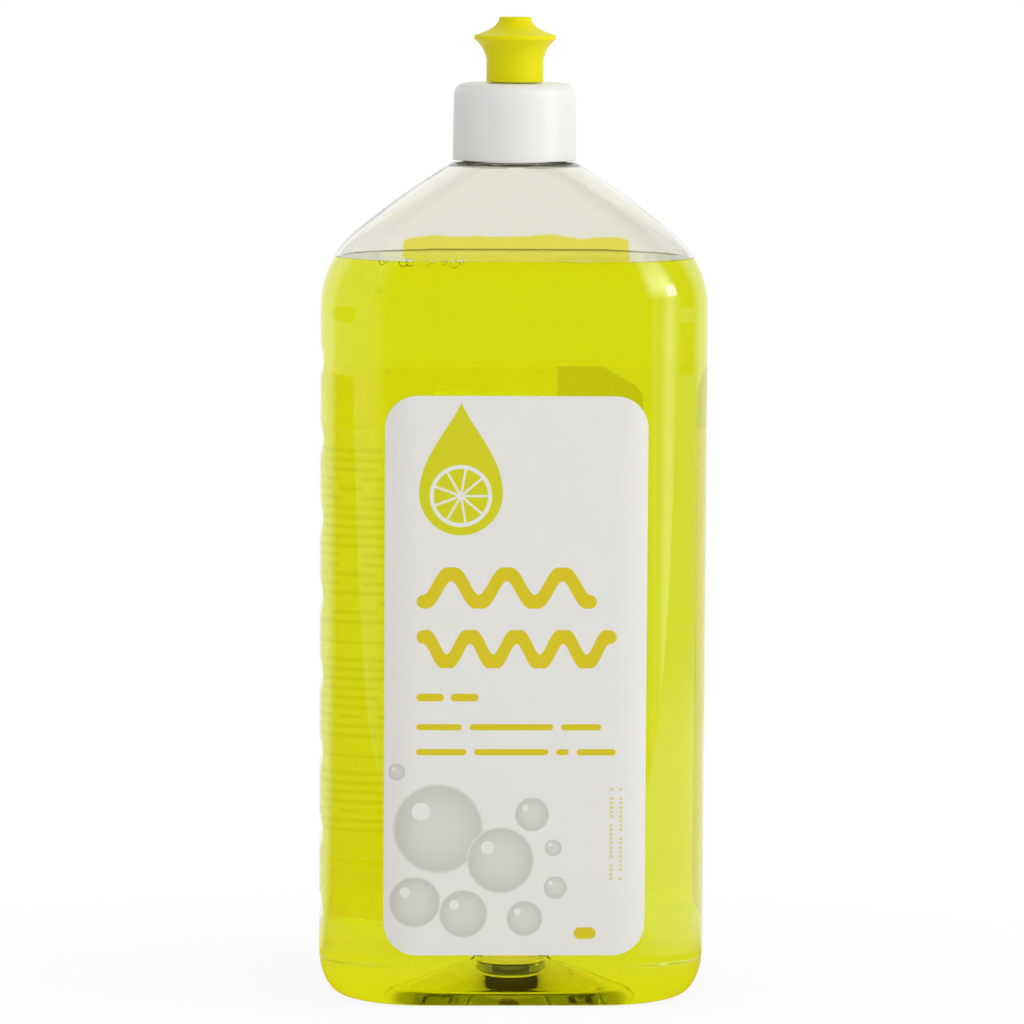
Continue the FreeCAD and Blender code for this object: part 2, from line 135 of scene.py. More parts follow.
class Sheet:
    """A node tree with short ways to add nodes and sums."""

    def __init__(self, tree: bpy.types.NodeTree) -> None:
        """Holds the tree that nodes are added to."""
        self.tree = tree

    def node(self, kind: str, **settings: object) -> bpy.types.Node:
        """Adds a node.

        Args:
            kind: The node's type name.
            settings: Values for the node's own settings.

        Returns:
            The new node.
        """
        made = self.tree.nodes.new(kind)
        for name, value in settings.items():
            setattr(made, name, value)
        return made

    def feed(self, socket: bpy.types.NodeSocket, value: object) -> None:
        """Gives an input socket its value.

        Args:
            socket: The input socket.
            value: A wire, another node's output socket or a plain value.
        """
        source = value.socket if isinstance(value, Wire) else value
        if isinstance(source, bpy.types.NodeSocket):
            self.tree.links.new(source, socket)
        else:
            socket.default_value = source

    def math(self, operation: str, *values: Value) -> Wire:
        """Adds a math node.

        Args:
            operation: The node's operation.
            values: The numbers that it works on.

        Returns:
            Its outcome.
        """
        made = self.node("ShaderNodeMath", operation=operation)
        for socket, value in zip(made.inputs, values):
            self.feed(socket, value)
        return Wire(self, made.outputs[0])

    def remap(self, value: Wire, low: Number, high: Number, to_low: Number, to_high: Number) -> Wire:
        """Moves a number smoothly from one span to another, and keeps it there.

        Args:
            value: The number.
            low: Start of the span that it comes from.
            high: End of that span.
            to_low: Start of the span that it goes to.
            to_high: End of that span.

        Returns:
            The moved number.
        """
        made = self.node("ShaderNodeMapRange", interpolation_type="SMOOTHSTEP")
        names = ("Value", "From Min", "From Max", "To Min", "To Max")
        for name, given in zip(names, (value, low, high, to_low, to_high)):
            self.feed(made.inputs[name], given)
        return Wire(self, made.outputs["Result"])

    def split(self, vector: bpy.types.NodeSocket) -> tuple[Wire, Wire, Wire]:
        """Takes a vector apart.

        Args:
            vector: The vector's socket.

        Returns:
            Its three numbers.
        """
        made = self.node("ShaderNodeSeparateXYZ")
        self.feed(made.inputs[0], vector)
        return tuple(Wire(self, socket) for socket in made.outputs)

    def place(self) -> bpy.types.NodeSocket:
        """The place on the piece, in metres."""
        return self.node("ShaderNodeTexCoord").outputs["Object"]

    def noise(self, vector: bpy.types.NodeSocket, scale: Value, detail: float = 2.0) -> Wire:
        """Makes soft random spots.

        Args:
            vector: The place that the spots are laid out on.
            scale: Spots in a metre.
            detail: Levels of finer spots on them.

        Returns:
            The spots' strength, from 0 to 1.
        """
        made = self.node("ShaderNodeTexNoise", noise_dimensions="3D")
        for name, value in (("Vector", vector), ("Scale", scale), ("Detail", detail)):
            self.feed(made.inputs[name], value)
        return Wire(self, made.outputs["Fac"])

    def blend(self, share: Value, first: object, second: object) -> bpy.types.NodeSocket:
        """Mixes two colours.

        Args:
            share: The second colour's share, from 0 to 1.
            first: The first colour, or its socket.
            second: The second colour, or its socket.

        Returns:
            The mixed colour.
        """
        made = self.node("ShaderNodeMix", data_type="RGBA")
        for name, value in (("Factor", share), ("A", first), ("B", second)):
            self.feed(made.inputs[name], value)
        return made.outputs["Result"]

    def mix_shaders(self, share: Value, first: bpy.types.NodeSocket,
                    second: bpy.types.NodeSocket) -> bpy.types.NodeSocket:
        """Mixes two shaders.

        Args:
            share: The second shader's share, from 0 to 1.
            first: The first shader.
            second: The second shader.

        Returns:
            The mixed shader.
        """
        made = self.node("ShaderNodeMixShader")
        for socket, value in zip(made.inputs, (share, first, second)):
            self.feed(socket, value)
        return made.outputs[0]

    def group(self, tree: bpy.types.NodeTree, **values: object) -> bpy.types.Node:
        """Places a node group.

        Args:
            tree: The group.
            values: Its inputs by name, with an underscore for each space.

        Returns:
            The group node.
        """
        made = self.node("ShaderNodeGroup", node_tree=tree)
        for name, value in values.items():
            self.feed(made.inputs[name.replace("_", " ")], value)
        return made


def emptied_sheet(owner: Union[bpy.types.Material, bpy.types.World]) -> Sheet:
    """Turns on a material's or a world's nodes and clears them.

    Args:
        owner: The material or world.

    Returns:
        Its sheet.
    """
    owner.use_nodes = True
    owner.node_tree.nodes.clear()
    return Sheet(owner.node_tree)


def new_group(
    name: str, inputs: Sequence[str], outputs: Sequence[str] = ("Mask",)
) -> tuple[Sheet, dict[str, Wire], bpy.types.NodeInputs]:
    """Starts a shader node group whose inputs and outputs are numbers.

    Args:
        name: The group's name.
        inputs: Names of its inputs.
        outputs: Names of its outputs.

    Returns:
        The group's sheet, its inputs by name and the sockets that its outputs are fed into.
    """
    tree = bpy.data.node_groups.new(name, "ShaderNodeTree")
    for in_out, names in (("INPUT", inputs), ("OUTPUT", outputs)):
        for socket_name in names:
            tree.interface.new_socket(socket_name, in_out=in_out, socket_type="NodeSocketFloat")
    sheet = Sheet(tree)
    start = sheet.node("NodeGroupInput")
    end = sheet.node("NodeGroupOutput")
    return sheet, {socket.name: Wire(sheet, socket) for socket in start.outputs if socket.name}, end.inputs


class Effects:
    """The shader node groups that the finishes share, each built once.

    A method here builds the effect of its name and returns the group. Places in shapes are in millimetres.
    """

    EDGE = 0.06
    SPOT = ("Across", "Up")
    _made: dict[str, bpy.types.NodeTree] = {}

    @classmethod
    def get(cls, name: str) -> bpy.types.NodeTree:
        """Gives an effect's group, which is built the first time it is asked for.

        Args:
            name: The effect's name.

        Returns:
            The group.
        """
        if name not in cls._made:
            cls._made[name] = getattr(cls, "_" + name)()
        return cls._made[name]

    @classmethod
    def _printed(cls, depth_inside: Wire) -> Wire:
        """The mask of a printed shape, from how far inside its edge a place is."""
        return depth_inside.between(-cls.EDGE, cls.EDGE)

    @staticmethod
    def _moulded_grain() -> bpy.types.NodeTree:
        """Fine grain and faint clouding of a moulded plastic face.

        Returns:
            The group.
        """
        sheet, given, made = new_group(
            "Moulded grain", ("Grain Scale", "Roughness", "Roughness Spread"),
            ("Roughness", "Height", "Cloud"),
        )
        place = sheet.place()
        grain = sheet.noise(place, given["Grain Scale"])
        cloud = sheet.noise(place, 90.0, 3.0)
        rough = (cloud - 0.5) * given["Roughness Spread"] + given["Roughness"]
        for name, value in (("Roughness", rough), ("Height", grain), ("Cloud", cloud)):
            sheet.feed(made[name], value)
        return sheet.tree

    @staticmethod
    def _blown_waves() -> bpy.types.NodeTree:
        """The slow waves of a blow-moulded wall.

        Returns:
            The group.
        """
        sheet, given, made = new_group("Blown waves", ("Wave Scale",), ("Height",))
        sheet.feed(made["Height"], sheet.noise(sheet.place(), given["Wave Scale"], 1.0))
        return sheet.tree

    @staticmethod
    def _heel_line() -> bpy.types.NodeTree:
        """The fine moulding line above the heel at the front corners, which rises towards the front.

        Returns:
            The group.
        """
        sheet, given, made = new_group(
            "Heel line", ("Side Height", "Front Height", "Half Depth", "Half Width")
        )
        across, deep, up = sheet.split(sheet.place())
        share = (deep / given["Half Depth"]).absolute().at_most(1.0)
        line = given["Side Height"] + (given["Front Height"] - given["Side Height"]) * share * share
        off = (up - line).absolute() / given["Half Width"]
        at_corner = across.absolute().between(0.024, 0.036)
        in_front = (deep * -1.0).between(-0.004, 0.006)
        sheet.feed(made["Mask"], off.between(0.0, 1.0).complement() * at_corner * in_front)
        return sheet.tree

    @staticmethod
    def _soap_film() -> bpy.types.NodeTree:
        """Where soap still clings to the back of the shoulder, above the surface.

        Returns:
            The group.
        """
        sheet, given, made = new_group("Soap film", ("Left", "Right", "Bottom", "Top", "Unevenness"))
        place = sheet.place()
        across, deep, up = sheet.split(place)
        uneven = (sheet.noise(place, 130.0, 1.0) - 0.5) * given["Unevenness"]
        reach = (across - given["Left"]).at_most(given["Right"] - across)
        rounding = 0.002
        inside = sheet.math("SMOOTH_MIN", reach, given["Top"] - up + uneven, rounding)
        above = (up - given["Bottom"]).between(-0.0001, 0.0001)
        behind = deep.between(0.004, 0.006)
        sheet.feed(made["Mask"], inside.between(-0.0001, 0.0005) * above * behind)
        return sheet.tree

    @staticmethod
    def _place_in_mm() -> bpy.types.NodeTree:
        """Place across and up a label, seen from its printed side.

        Returns:
            The group.
        """
        sheet, given, made = new_group("Place in mm", ("Side",), Effects.SPOT)
        across, _, up = sheet.split(sheet.place())
        sheet.feed(made["Across"], across * given["Side"] * (1.0 / MM))
        sheet.feed(made["Up"], up * (1.0 / MM))
        return sheet.tree

    @staticmethod
    def _bar() -> bpy.types.NodeTree:
        """A round-ended bar, straight or waved.

        Returns:
            The group.
        """
        sizes = ("Middle", "Height", "Half Length", "Half Width", "Swing", "Wave Length", "Start")
        sheet, given, made = new_group("Bar", Effects.SPOT + sizes)
        along = given["Across"] - given["Middle"]
        straight = given["Half Length"] - given["Half Width"]
        kept = along.at_most(straight).at_least(straight * -1.0)
        turn = (kept / given["Wave Length"] + given["Start"]) * FULL_TURN
        lean = turn.cosine() * given["Swing"] * FULL_TURN / given["Wave Length"]
        stretch = (lean * lean + 1.0).power(0.5)
        off = (given["Up"] - given["Height"] - turn.sine() * given["Swing"]) / stretch
        sheet.feed(made["Mask"], Effects._printed(given["Half Width"] - (along - kept).hypot(off)))
        return sheet.tree

    @staticmethod
    def _panel() -> bpy.types.NodeTree:
        """A rectangle with round corners.

        Returns:
            The group.
        """
        sheet, given, made = new_group("Panel", Effects.SPOT + ("Left", "Right", "Bottom", "Top", "Corner"))
        past = []
        for spot, low, high in (("Across", "Left", "Right"), ("Up", "Bottom", "Top")):
            half = (given[high] - given[low]) / 2.0 - given["Corner"]
            middle = (given[high] + given[low]) / 2.0
            past.append(((given[spot] - middle).absolute() - half).at_least(0.0))
        sheet.feed(made["Mask"], Effects._printed(given["Corner"] - past[0].hypot(past[1])))
        return sheet.tree

    @staticmethod
    def _disc() -> bpy.types.NodeTree:
        """A disc, with how far out a place is as a share of its radius.

        Returns:
            The group.
        """
        sheet, given, made = new_group(
            "Disc", Effects.SPOT + ("Middle", "Height", "Radius"), ("Mask", "Share")
        )
        out = (given["Across"] - given["Middle"]).hypot(given["Up"] - given["Height"])
        sheet.feed(made["Mask"], Effects._printed(given["Radius"] - out))
        sheet.feed(made["Share"], out / given["Radius"])
        return sheet.tree

    @staticmethod
    def _drop() -> bpy.types.NodeTree:
        """A drop with a round foot and a drawn-out top.

        Returns:
            The group.
        """
        sheet, given, made = new_group("Drop", Effects.SPOT + ("Middle", "Height", "Radius", "Tip"))
        side = (given["Across"] - given["Middle"]).absolute()
        rise = given["Up"] - given["Height"]
        share = (rise / given["Tip"]).at_least(0.0).at_most(1.0)
        taper = (share * (FULL_TURN / 4.0)).cosine().power(1.25)
        above = given["Radius"] * taper - side
        below = given["Radius"] - side.hypot(rise)
        upper = rise.between(-0.05, 0.05)
        inside = above * upper + below * upper.complement()
        under_tip = (given["Tip"] - rise).between(0.0, 0.1)
        sheet.feed(made["Mask"], Effects._printed(inside) * under_tip)
        return sheet.tree

    @staticmethod
    def _slice() -> bpy.types.NodeTree:
        """The wedges of a cut citrus fruit within a disc.

        Returns:
            The group.
        """
        sheet, given, made = new_group(
            "Citrus slice", Effects.SPOT + ("Middle", "Height", "Radius", "Wedges")
        )
        side = given["Across"] - given["Middle"]
        rise = given["Up"] - given["Height"]
        out = side.hypot(rise)
        wedge = sheet.math("ARCTAN2", rise, side) / FULL_TURN * given["Wedges"] + 20.0
        from_edge = sheet.math("PINGPONG", wedge, 0.5)
        gap = from_edge * out * FULL_TURN / given["Wedges"]
        inner = (gap - 0.28).between(-0.12, 0.12)
        ring = Effects._printed(given["Radius"] - out) * (out - 1.0).between(-0.1, 0.1)
        sheet.feed(made["Mask"], inner * ring)
        return sheet.tree

    @staticmethod
    def _print_rows() -> bpy.types.NodeTree:
        """Rows of fine dashes within a frame, like small print without letters.

        Returns:
            The group.
        """
        sizes = ("Left", "Right", "Bottom", "Top", "Row Pitch", "Row Height", "Dash", "Cover", "Seed")
        sheet, given, made = new_group("Print rows", Effects.SPOT + sizes)
        row = (given["Top"] - given["Up"]) / given["Row Pitch"]
        ink = given["Row Height"] / given["Row Pitch"] - sheet.math("FRACT", row)
        cell = sheet.math("FLOOR", (given["Across"] - given["Left"]) / given["Dash"])
        random = sheet.node("ShaderNodeTexWhiteNoise", noise_dimensions="2D")
        joined = sheet.node("ShaderNodeCombineXYZ")
        sheet.feed(joined.inputs["X"], cell)
        sheet.feed(joined.inputs["Y"], sheet.math("FLOOR", row) + given["Seed"])
        sheet.feed(random.inputs["Vector"], joined.outputs[0])
        mask = ink.between(-0.03, 0.03) * Wire(sheet, random.outputs["Value"]).less_than(given["Cover"])
        for spot, low, high in (("Across", "Left", "Right"), ("Up", "Bottom", "Top")):
            mask = mask * given[low].less_than(given[spot]) * given[spot].less_than(given[high])
        sheet.feed(made["Mask"], mask)
        return sheet.tree


# Finishes


class Finish:
    """A material of the bottle, built once under its own name."""

    name: str = "finish"
    _built: dict[str, bpy.types.Material] = {}

    def material(self) -> bpy.types.Material:
        """Gives the finish's material, which is built the first time it is asked for.

        Returns:
            The material.
        """
        if self.name not in Finish._built:
            made = bpy.data.materials.new(self.name)
            sheet = emptied_sheet(made)
            shader = sheet.node("ShaderNodeBsdfPrincipled")
            output = sheet.node("ShaderNodeOutputMaterial")
            sheet.feed(output.inputs["Surface"], shader.outputs["BSDF"])
            self.dress(sheet, shader, output)
            Finish._built[self.name] = made
        return Finish._built[self.name]

    def dress(self, sheet: Sheet, shader: bpy.types.Node, output: bpy.types.Node) -> None:
        """Sets up the Principled shader on the material's sheet, and the output node where it needs more."""
        raise NotImplementedError


def rgba(colour: Sequence[float]) -> tuple[float, float, float, float]:
    """A screen colour, 0 to 255 a channel, as a linear colour with full alpha."""
    linear = [c / 255.0 / 12.92 if c <= 10.3 else ((c / 255.0 + 0.055) / 1.055) ** 2.4 for c in colour]
    return (*linear, 1.0)


def bump(sheet: Sheet, shader: bpy.types.Node, height: object, depth: float) -> None:
    """Adds a Bump node between a height and the shader's normal.

    Args:
        sheet: The material's node sheet.
        shader: Its Principled shader.
        height: The height, from 0 to 1.
        depth: Depth of a height of 1, in millimetres.
    """
    made = sheet.node("ShaderNodeBump")
    made.inputs["Distance"].default_value = depth * MM
    sheet.feed(made.inputs["Height"], height)
    sheet.feed(shader.inputs["Normal"], made.outputs["Normal"])


def make_clear(shader: bpy.types.Node, bending: float, colour: Colour = (1.0, 1.0, 1.0)) -> None:
    """Makes a Principled shader smooth and clear.

    Args:
        shader: The shader.
        bending: Its refractive index.
        colour: Its linear colour.
    """
    shader.inputs["Base Color"].default_value = (*colour, 1.0)
    shader.inputs["Roughness"].default_value = 0.0
    shader.inputs["IOR"].default_value = bending
    shader.inputs["Transmission Weight"].default_value = 1.0


PLASTIC_BENDING = 1.575
SOAP_BENDING = 1.36


@dataclass(frozen=True)
class ClearWall(Finish):
    """Clear blow-moulded plastic against air, or against soap where the soap wets it."""

    name: str = "clear_pet"
    tint: Colour = (0.955, 0.948, 0.885)
    bending: float = PLASTIC_BENDING
    wave_depth: float = 0.05
    line_depth: float = 0.22
    film_colour: Colour = (0.92, 0.86, 0.11)

    def dress(self, sheet: Sheet, shader: bpy.types.Node, output: bpy.types.Node) -> None:
        """Glass-like shader with slow waves, the heel's line and the soap left at the back.

        Args:
            sheet: The material's node sheet.
            shader: Its Principled shader.
            output: Its output node, not used here.
        """
        make_clear(shader, self.bending)
        waves = sheet.group(Effects.get("blown_waves"), Wave_Scale=38.0)
        height = Wire(sheet, waves.outputs["Height"])
        tinted = sheet.blend(height, (*self.tint, 1.0), (*[c * 0.99 for c in self.tint], 1.0))
        film = sheet.group(
            Effects.get("soap_film"), Left=-0.0285, Right=0.0315, Bottom=0.1905, Top=0.1941, Unevenness=0.0030
        )
        tinted = sheet.blend(film.outputs["Mask"], tinted, (*self.film_colour, 1.0))
        sheet.feed(shader.inputs["Base Color"], tinted)
        line = sheet.group(
            Effects.get("heel_line"),
            Side_Height=0.0104, Front_Height=0.0118, Half_Depth=0.031, Half_Width=0.0015,
        )
        dent = Wire(sheet, line.outputs["Mask"]) * (self.line_depth / self.wave_depth)
        bump(sheet, shader, height - dent, self.wave_depth)


@dataclass(frozen=True)
class Soap(Finish):
    """Clear yellow soap, against air on its top and against the wall on its sides.

    Both are one material, so that light entering by one and leaving by the other knows it has left the soap.
    """

    name: str = "soap"
    colour: Colour = (0.960, 0.971, 0.06)
    density: float = 100.0
    surface_from: float = 190.385

    def dress(self, sheet: Sheet, shader: bpy.types.Node, output: bpy.types.Node) -> None:
        """Clear surface around an absorbing volume, which bends no light where it touches the wall.

        Args:
            sheet: The material's node sheet.
            shader: Its Principled shader.
            output: Its output node.
        """
        side = sheet.node("ShaderNodeBsdfPrincipled")
        make_clear(side, 1.0)
        make_clear(shader, SOAP_BENDING)
        _, _, up = sheet.split(sheet.place())
        on_top = sheet.math("GREATER_THAN", up, self.surface_from * MM)
        sheet.feed(output.inputs["Surface"], sheet.mix_shaders(on_top, side.outputs[0], shader.outputs[0]))
        volume = sheet.node("ShaderNodeVolumeAbsorption")
        volume.inputs["Color"].default_value = (*self.colour, 1.0)
        volume.inputs["Density"].default_value = self.density
        sheet.feed(output.inputs["Volume"], volume.outputs["Volume"])


@dataclass(frozen=True)
class AirBubble(Finish):
    """The skin of an air bubble in soap."""

    name: str = "air_bubble"
    bending: float = 0.86
    colour: Colour = (1.0, 1.0, 0.96)

    def dress(self, sheet: Sheet, shader: bpy.types.Node, output: bpy.types.Node) -> None:
        """Clear surface that bends light the other way round."""
        make_clear(shader, self.bending, self.colour)


@dataclass(frozen=True)
class MouldedPlastic(Finish):
    """Opaque or slightly milky moulded plastic."""

    name: str = "cap_white"
    colour: Colour = (236.0, 236.0, 233.0)
    shade: Colour = (231.0, 231.0, 227.0)
    roughness: float = 0.38
    grain_scale: float = 2600.0
    grain_depth: float = 0.012
    bending: float = 1.49
    shine: float = 0.5
    milk: float = 0.15
    milk_depth: Colour = (1.2, 1.1, 1.0)

    def dress(self, sheet: Sheet, shader: bpy.types.Node, output: bpy.types.Node) -> None:
        """Plastic with fine grain and faint clouding.

        Args:
            sheet: The material's node sheet.
            shader: Its Principled shader.
            output: Its output node, not used here.
        """
        grain = sheet.group(
            Effects.get("moulded_grain"),
            Grain_Scale=self.grain_scale, Roughness=self.roughness, Roughness_Spread=0.12,
        )
        colour = sheet.blend(grain.outputs["Cloud"], rgba(self.colour), rgba(self.shade))
        sheet.feed(shader.inputs["Base Color"], colour)
        sheet.feed(shader.inputs["Roughness"], grain.outputs["Roughness"])
        shader.inputs["IOR"].default_value = self.bending
        shader.inputs["Specular IOR Level"].default_value = self.shine
        shader.inputs["Subsurface Weight"].default_value = self.milk
        shader.inputs["Subsurface Radius"].default_value = self.milk_depth
        shader.inputs["Subsurface Scale"].default_value = MM
        bump(sheet, shader, grain.outputs["Height"], self.grain_depth)


@dataclass(frozen=True)
class Foam(Finish):
    """Closed-cell foam of the sealing ring."""

    name: str = "foam"
    cell_colour: Colour = (226.0, 226.0, 222.0)
    colour: Colour = (240.0, 240.0, 237.0)
    cells: float = 3200.0
    cell_depth: float = 0.03

    def dress(self, sheet: Sheet, shader: bpy.types.Node, output: bpy.types.Node) -> None:
        """Off-white foam with small cells.

        Args:
            sheet: The material's node sheet.
            shader: Its Principled shader.
            output: Its output node, not used here.
        """
        cells = sheet.node("ShaderNodeTexVoronoi")
        sheet.feed(cells.inputs["Vector"], sheet.place())
        cells.inputs["Scale"].default_value = self.cells
        spots = cells.outputs["Distance"]
        sheet.feed(shader.inputs["Base Color"], sheet.blend(spots, rgba(self.cell_colour), rgba(self.colour)))
        shader.inputs["Roughness"].default_value = 0.8
        bump(sheet, shader, spots, self.cell_depth)


# Print


class Side(Enum):
    """Which side of the bottle a label is on."""

    FRONT = -1
    BACK = 1


@dataclass(frozen=True)
class Mark:
    """One printed shape, with its middle in millimetres across the label and up the bottle.

    A shape's name is that of its effect, and its sizes are that effect's inputs.
    """

    shape: str
    sizes: dict[str, float]

    def place(self, sheet: Sheet, across: Wire, up: Wire) -> bpy.types.Node:
        """The shape's node group at a place across the label and up the bottle."""
        return sheet.group(Effects.get(self.shape), Across=across, Up=up, **self.sizes)


@dataclass(frozen=True)
class Ink:
    """A printed colour and the marks printed in it."""

    colour: Colour
    marks: tuple[Mark, ...]


def bar(left: float, right: float, height: float, half_width: float,
        swing: float = 0.0, wave: float = 20.0, start: float = 0.0) -> Mark:
    """A printed bar, straight or waved.

    Args:
        left: Its left end.
        right: Its right end.
        height: Height of its middle line.
        half_width: Half of its thickness.
        swing: Height of its waves over the middle line.
        wave: Length of a wave.
        start: Share of a wave that lies before its middle.

    Returns:
        The bar.
    """
    return Mark("bar", {
        "Middle": (left + right) / 2.0, "Height": height, "Half_Length": (right - left) / 2.0,
        "Half_Width": half_width, "Swing": swing, "Wave_Length": wave, "Start": start,
    })


def disc(middle: float, height: float, radius: float) -> Mark:
    """A printed disc."""
    return Mark("disc", {"Middle": middle, "Height": height, "Radius": radius})


def panel(left: float, right: float, bottom: float, top: float) -> Mark:
    """A printed rectangle."""
    return Mark("panel", {"Left": left, "Right": right, "Bottom": bottom, "Top": top, "Corner": 0.3})


def small_print(left: float, right: float, bottom: float, top: float, cover: float, seed: float,
                pitch: float = 2.5, height: float = 1.1, dash: float = 0.95) -> Mark:
    """Rows of fine dashes in a frame.

    Args:
        left: Left edge of the frame.
        right: Its right edge.
        bottom: Its lower edge.
        top: Its upper edge.
        cover: Share of the places that hold a dash.
        seed: Number that the choice of those places starts from.
        pitch: Distance from row to row.
        height: Height of a dash.
        dash: Length of a dash.

    Returns:
        The rows.
    """
    return Mark("print_rows", {
        "Left": left, "Right": right, "Bottom": bottom, "Top": top, "Row_Pitch": pitch, "Row_Height": height,
        "Dash": dash, "Cover": cover, "Seed": seed,
    })


YELLOW = (216.0, 214.0, 0.0)
GOLD = (223.0, 202.0, 2.0)
PALE_GOLD = (226.0, 216.0, 140.0)
GREY_LIGHT = (219.0, 218.0, 208.0)
GREY_DARK = (204.0, 204.0, 193.0)
GREY_EDGE = (225.0, 224.0, 214.0)
PAPER = (236.0, 235.0, 230.0)
CLEAR_PAPER = (252.0, 251.0, 246.0)
LEMON = (251.0, 247.0, 150.0)
SMALL_PRINT = (241.0, 239.0, 222.0)
# The two sand colours are painted shade on the darker side of the back label.
PAINTED_SHADE_SAND = (230.0, 225.0, 187.0)
PAINTED_SHADE_PALE_SAND = (244.0, 236.0, 214.0)


@dataclass(frozen=True)
class LabelFilm(Finish):
    """White label film, with any print on the outside."""

    name: str = "label_film"
    side: Side = Side.FRONT
    inks: tuple[Ink, ...] = ()
    bubbles: tuple[tuple[float, float, float], ...] = ()
    let_through: float = 0.05
    bending: float = 1.46
    roughness: float = 0.42
    translucent: float = 0.0
    paper: Colour = PAPER

    def dress(self, sheet: Sheet, shader: bpy.types.Node, output: bpy.types.Node) -> None:
        """Film with its printed shapes and a faint satin grain.

        Args:
            sheet: The material's node sheet.
            shader: Its Principled shader.
            output: Its output node.
        """
        grain = sheet.group(
            Effects.get("moulded_grain"), Grain_Scale=1500.0, Roughness=self.roughness, Roughness_Spread=0.1
        )
        colour = sheet.blend(grain.outputs["Cloud"], rgba(self.paper), rgba([c - 3.0 for c in self.paper]))
        if self.inks:
            colour = self._print(sheet, colour)
        sheet.feed(shader.inputs["Base Color"], colour)
        sheet.feed(shader.inputs["Roughness"], grain.outputs["Roughness"])
        shader.inputs["IOR"].default_value = self.bending
        shader.inputs["Transmission Weight"].default_value = self.let_through
        bump(sheet, shader, grain.outputs["Height"], 0.004)
        if self.translucent > 0.0:
            backlit = sheet.node("ShaderNodeBsdfTranslucent")
            sheet.feed(backlit.inputs["Color"], colour)
            mixed = sheet.mix_shaders(self.translucent, shader.outputs[0], backlit.outputs[0])
            sheet.feed(output.inputs["Surface"], mixed)

    def _print(self, sheet: Sheet, colour: bpy.types.NodeSocket) -> bpy.types.NodeSocket:
        """Prints the soap bubbles and then each ink over the paper.

        Args:
            sheet: The material's node sheet.
            colour: The paper's colour.

        Returns:
            The printed colour.
        """
        place = sheet.group(Effects.get("place_in_mm"), Side=1.0 if self.side is Side.FRONT else -1.0)
        across, up = (Wire(sheet, place.outputs[name]) for name in Effects.SPOT)
        for middle, height, radius in self.bubbles:
            ball = disc(middle, height, radius).place(sheet, across, up)
            share = Wire(sheet, ball.outputs["Share"])
            shade = sheet.blend(share.between(0.35, 1.0), rgba(GREY_LIGHT), rgba(GREY_DARK))
            shade = sheet.blend(share.between(0.93, 0.98), shade, rgba(GREY_EDGE))
            shift = 0.38 * radius
            glint = disc(middle - shift, height + shift, 0.2 * radius).place(sheet, across, up)
            shade = sheet.blend(glint.outputs["Mask"], shade, rgba(PAPER))
            colour = sheet.blend(ball.outputs["Mask"], colour, shade)
        for ink in self.inks:
            masks = [Wire(sheet, mark.place(sheet, across, up).outputs["Mask"]) for mark in ink.marks]
            cover = masks[0]
            for mask in masks[1:]:
                cover = cover.at_least(mask)
            colour = sheet.blend(cover, colour, rgba(ink.colour))
        return colour


DROP = {"Middle": -14.1, "Height": 132.2, "Radius": 10.6, "Tip": 23.3}
SLICE = {"Middle": -14.1, "Height": 131.6, "Radius": 6.9, "Wedges": 9.0}
LINES_OF_WORDS = (
    (80.2, 1.0, ((-25.2, -18.2), (-16.4, -9.4))),
    (72.6, 0.8, ((-25.2, -13.6), (-11.6, 9.6), (11.6, 21.8))),
    (66.2, 0.8, ((-25.2, -12.4), (-10.4, 8.4), (10.4, 13.6), (15.6, 25.6))),
)
FRONT_PRINT = (
    Ink(YELLOW, (Mark("drop", DROP),)),
    Ink(PAPER, (disc(-14.1, 131.6, 7.9),)),
    Ink(YELLOW, (Mark("slice", SLICE),)),
    Ink(GOLD, (
        bar(-25.2, 20.5, 108.2, 1.75, 3.5, 14.1, 0.25),
        bar(-25.2, 25.6, 92.6, 1.75, 3.1, 11.825, 0.25),
        *(bar(left, right, height, half) for height, half, words in LINES_OF_WORDS for left, right in words),
        bar(15.2, 20.8, 19.6, 1.5),
    )),
    Ink(PALE_GOLD, tuple(
        small_print(left, left + 0.8, 33.0, 57.0, 0.86, seed, 1.15, 0.7, 4.0)
        for left, seed in ((24.2, 3.0), (26.6, 9.0))
    )),
)
FRONT_BUBBLES = (
    (-19.5, 46.5, 11.6), (-3.6, 38.4, 8.6), (-25.4, 27.6, 6.6), (-13.0, 24.6, 6.2), (4.4, 50.2, 4.4),
    (2.6, 23.4, 4.6), (-30.0, 61.0, 2.2), (9.8, 41.6, 2.2), (10.4, 31.4, 3.0),
)
BACK_PRINT = (
    # The two sand panels are painted shade: they darken the side of the back label that gets less light
    # through it from behind.
    Ink(PAINTED_SHADE_PALE_SAND, (panel(-35.0, -12.0, 10.0, 144.0),)),
    Ink(PAINTED_SHADE_SAND, (panel(-35.0, -12.0, 144.0, 163.0),)),
    Ink(LEMON, (panel(-12.0, 35.0, 144.0, 163.0),)),
    Ink(YELLOW, (disc(-18.0, 25.8, 5.6), disc(-4.5, 25.8, 5.6))),
    Ink(CLEAR_PAPER, (
        bar(-6.0, 20.0, 153.6, 0.9), bar(-6.0, 12.0, 149.0, 0.9),
        disc(-18.0, 25.8, 3.9), disc(-4.5, 25.8, 3.9),
    )),
    Ink(SMALL_PRINT, (
        small_print(-26.5, 0.5, 92.0, 139.0, 0.86, 1.0),
        small_print(3.0, 30.0, 92.0, 139.0, 0.86, 21.0),
        small_print(-26.5, 30.0, 62.0, 84.0, 0.88, 41.0),
        small_print(-26.5, 30.0, 38.0, 54.0, 0.84, 61.0),
        bar(-26.5, 30.0, 88.0, 0.35), bar(-26.5, 30.0, 58.0, 0.35),
    )),
    Ink(LEMON, (bar(8.0, 29.0, 30.0, 0.8), bar(8.0, 22.0, 25.8, 0.8), bar(8.0, 26.0, 21.6, 0.8))),
)


# Meshes


